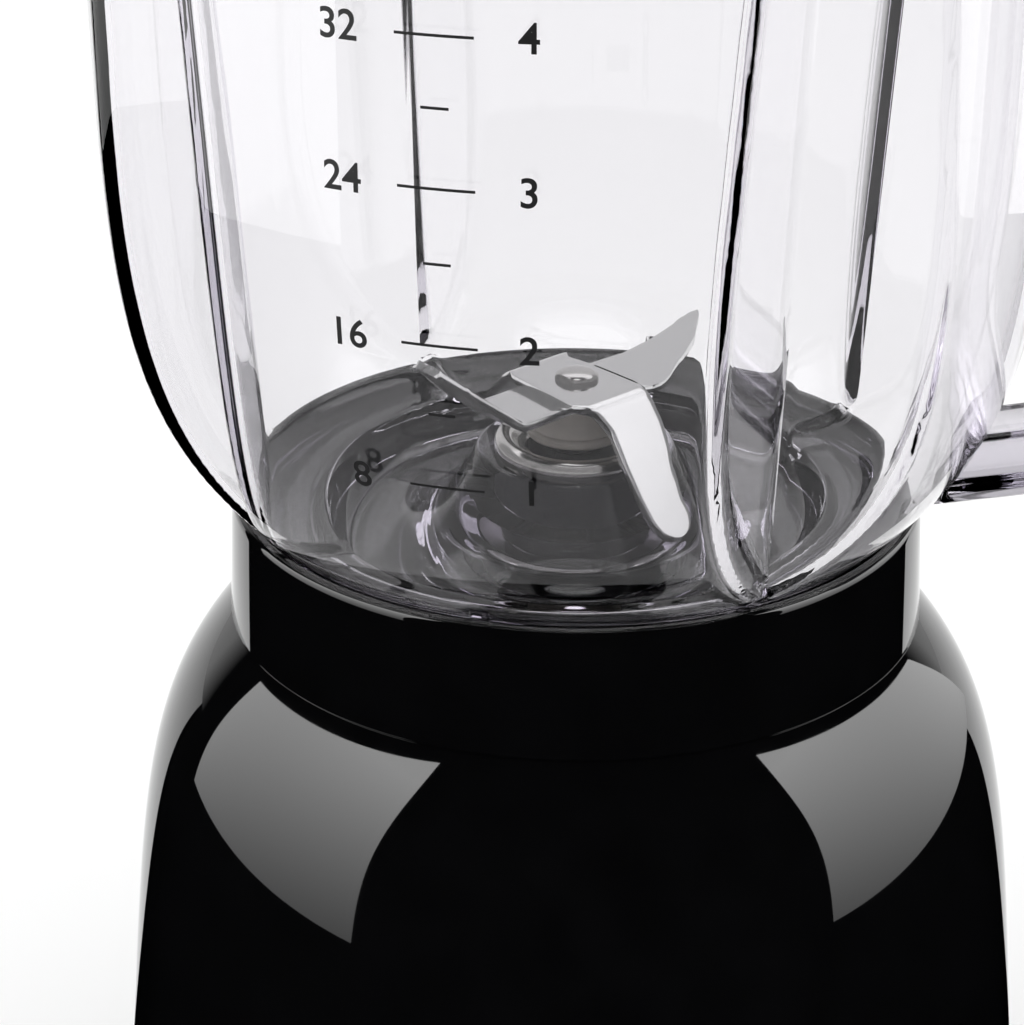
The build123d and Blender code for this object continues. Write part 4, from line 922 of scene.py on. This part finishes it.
arm_high = rounded_tip([(5.2, 8.9), (6.5, 9.3), (8.2, 9.3), (10, 8.7), (14.5, 6.2), (20.8, 2.3),
                        (27.1, -1.6), (33.4, -5.6)], 33.4, -7.3, 2.2)
arm_stations = [5.2 + 0.35 * i for i in range(9)] + spread(8.2, 33.4, 0.9)[1:]
flat_arm = sheet(
    "upper_flat", arm_stations, arm_low, arm_high,
    lambda reach, side: flat_way * reach + down_way * side + Vector((0, 0, HUB_TOP)),
)
for strip in (folded, flat_arm):
    if strip.data.polygons[0].normal.z < 0:
        strip.data.flip_normals()
    thicken(strip)
bpy.ops.object.select_all(action="DESELECT")
flat_arm.select_set(True)
folded.select_set(True)
bpy.context.view_layer.objects.active = folded
bpy.ops.object.join()
folded.name = "upper_blade_sheet"
finish_piece(folded, "blades", "blade_steel", "upper_blade")

# %% Lower blade
up_way = -flat_way
up_side = down_way


def on_lower(reach, side):
    """Along the lower blade: the raised arm is at positive reach."""
    distance, rise = bent(reach, 15.2 * MM, 39) if reach > 0 else (reach, 0)
    return up_way * distance + up_side * side + Vector((0, 0, HUB_TOP - BLADE_SHEET + rise))


raised_low = rounded_tip([(-23, -4.4), (-14, -4.8), (0, -5.4), (15, -5.4), (37, 1.4)], 36.4, 3.2, 1.2)
raised_high = rounded_tip([(-23, -0.6), (-14, 4.6), (0, 5.2), (15, 5.4), (37, 5.6)], 36.4, 3.2, 1.2)
lower_stations = sorted(set(spread(-23, 36.4, 0.8)))
lower = sheet("lower_blade_sheet", lower_stations, raised_low, raised_high, on_lower)
if lower.data.polygons[0].normal.z < 0:
    lower.data.flip_normals()
thicken(lower)
finish_piece(lower, "blades", "blade_steel", "lower_blade")

# %% [markdown]
# ## Bearing cup, spacer and shaft end
#
# The cup is a polished pressing with a rolled rim and a dark recess inside it. The spacer is pale
# moulded plastic with a ridge at its foot. The shaft's end is a domed button with two flats.

# %% Cup and spacer
cup_bottom = cup_low.z
rolled = [(10.6 * MM + 1.5 * MM * cos(t), CUP_TOP - 1.2 * MM + 1.5 * MM * sin(t))
          for t in (radians(a) for a in range(-30, 151, 12))]
cup_outline = (
    [(8.2 * MM, cup_bottom + 0.2 * MM), (8.2 * MM, CUP_TOP - 1.7 * MM)]
    + [(11.4 * MM, CUP_TOP - 1.7 * MM)]
    + rolled
    + [(8.6 * MM, CUP_TOP - 1.3 * MM), (7.6 * MM, CUP_TOP - 1.4 * MM), (7.1 * MM, CUP_TOP - 2.0 * MM)]
    + [(7.1 * MM, cup_bottom + 0.2 * MM), (7.3 * MM, cup_bottom), (8.0 * MM, cup_bottom)]
)
cup = wrapped("cup_ring", full_turn(96), lambda angle: cup_outline, len(cup_outline))
finish_piece(cup, "jug", "cup_steel", "bearing_cup")
cup.data.materials.append(finishes["gasket_rubber"])
SLEEVE_TOP = CUP_TOP - 1.75 * MM      # a dark rubber sleeve covers the tube below this
for face in cup.data.polygons:
    on_sleeve = face.center.z < SLEEVE_TOP and hypot(*face.center[:2]) > 7.6 * MM
    face.material_index = int(on_sleeve)

spacer_low, spacer_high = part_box("blade_spacer")
foot, head = spacer_low.z, spacer_high.z
spacer_outline = [
    (4.0 * MM, foot), (7.2 * MM, foot), (7.4 * MM, foot + 0.3 * MM), (7.4 * MM, foot + 0.9 * MM),
    (7.1 * MM, foot + 1.2 * MM), (6.7 * MM, foot + 1.3 * MM), (6.6 * MM, foot + 1.6 * MM),
    (6.6 * MM, head - 1.0 * MM), (6.7 * MM, head - 0.3 * MM), (6.7 * MM, head), (4.0 * MM, head),
]
spacer = wrapped("spacer_turned", full_turn(96), lambda angle: spacer_outline, len(spacer_outline))
finish_piece(spacer, "blades", "spacer_plastic", "blade_spacer")

# %% Shaft
shaft_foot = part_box("blade_shaft")[0].z
button = [(3.1 * MM * cos(t), HUB_TOP + 0.6 * MM + 0.85 * MM * sin(t))
          for t in (pi / 2 * i / 8 for i in range(9))]
shaft_outline = (
    [(0, shaft_foot), (3.7 * MM, shaft_foot), (4.0 * MM, shaft_foot + 0.3 * MM)]
    + [(4.0 * MM, UNDER_BLADES), (3.2 * MM, UNDER_BLADES), (3.2 * MM, HUB_TOP + 0.5 * MM)]
    + button
)


def with_flats(angle):
    """The shaft's outline, its button cut flat on the two sides across the arms."""
    across = abs(cos(angle - FLAT_TURN))
    limit = 2.55 * MM / max(0.001, across)
    above = UNDER_BLADES + 0.1 * MM
    return [(min(r, limit), z) if z > above else (r, z) for r, z in shaft_outline]


shaft = wrapped("shaft_turned", full_turn(96), with_flats, len(shaft_outline))
finish_piece(shaft, "blades", "shaft_steel", "blade_shaft")
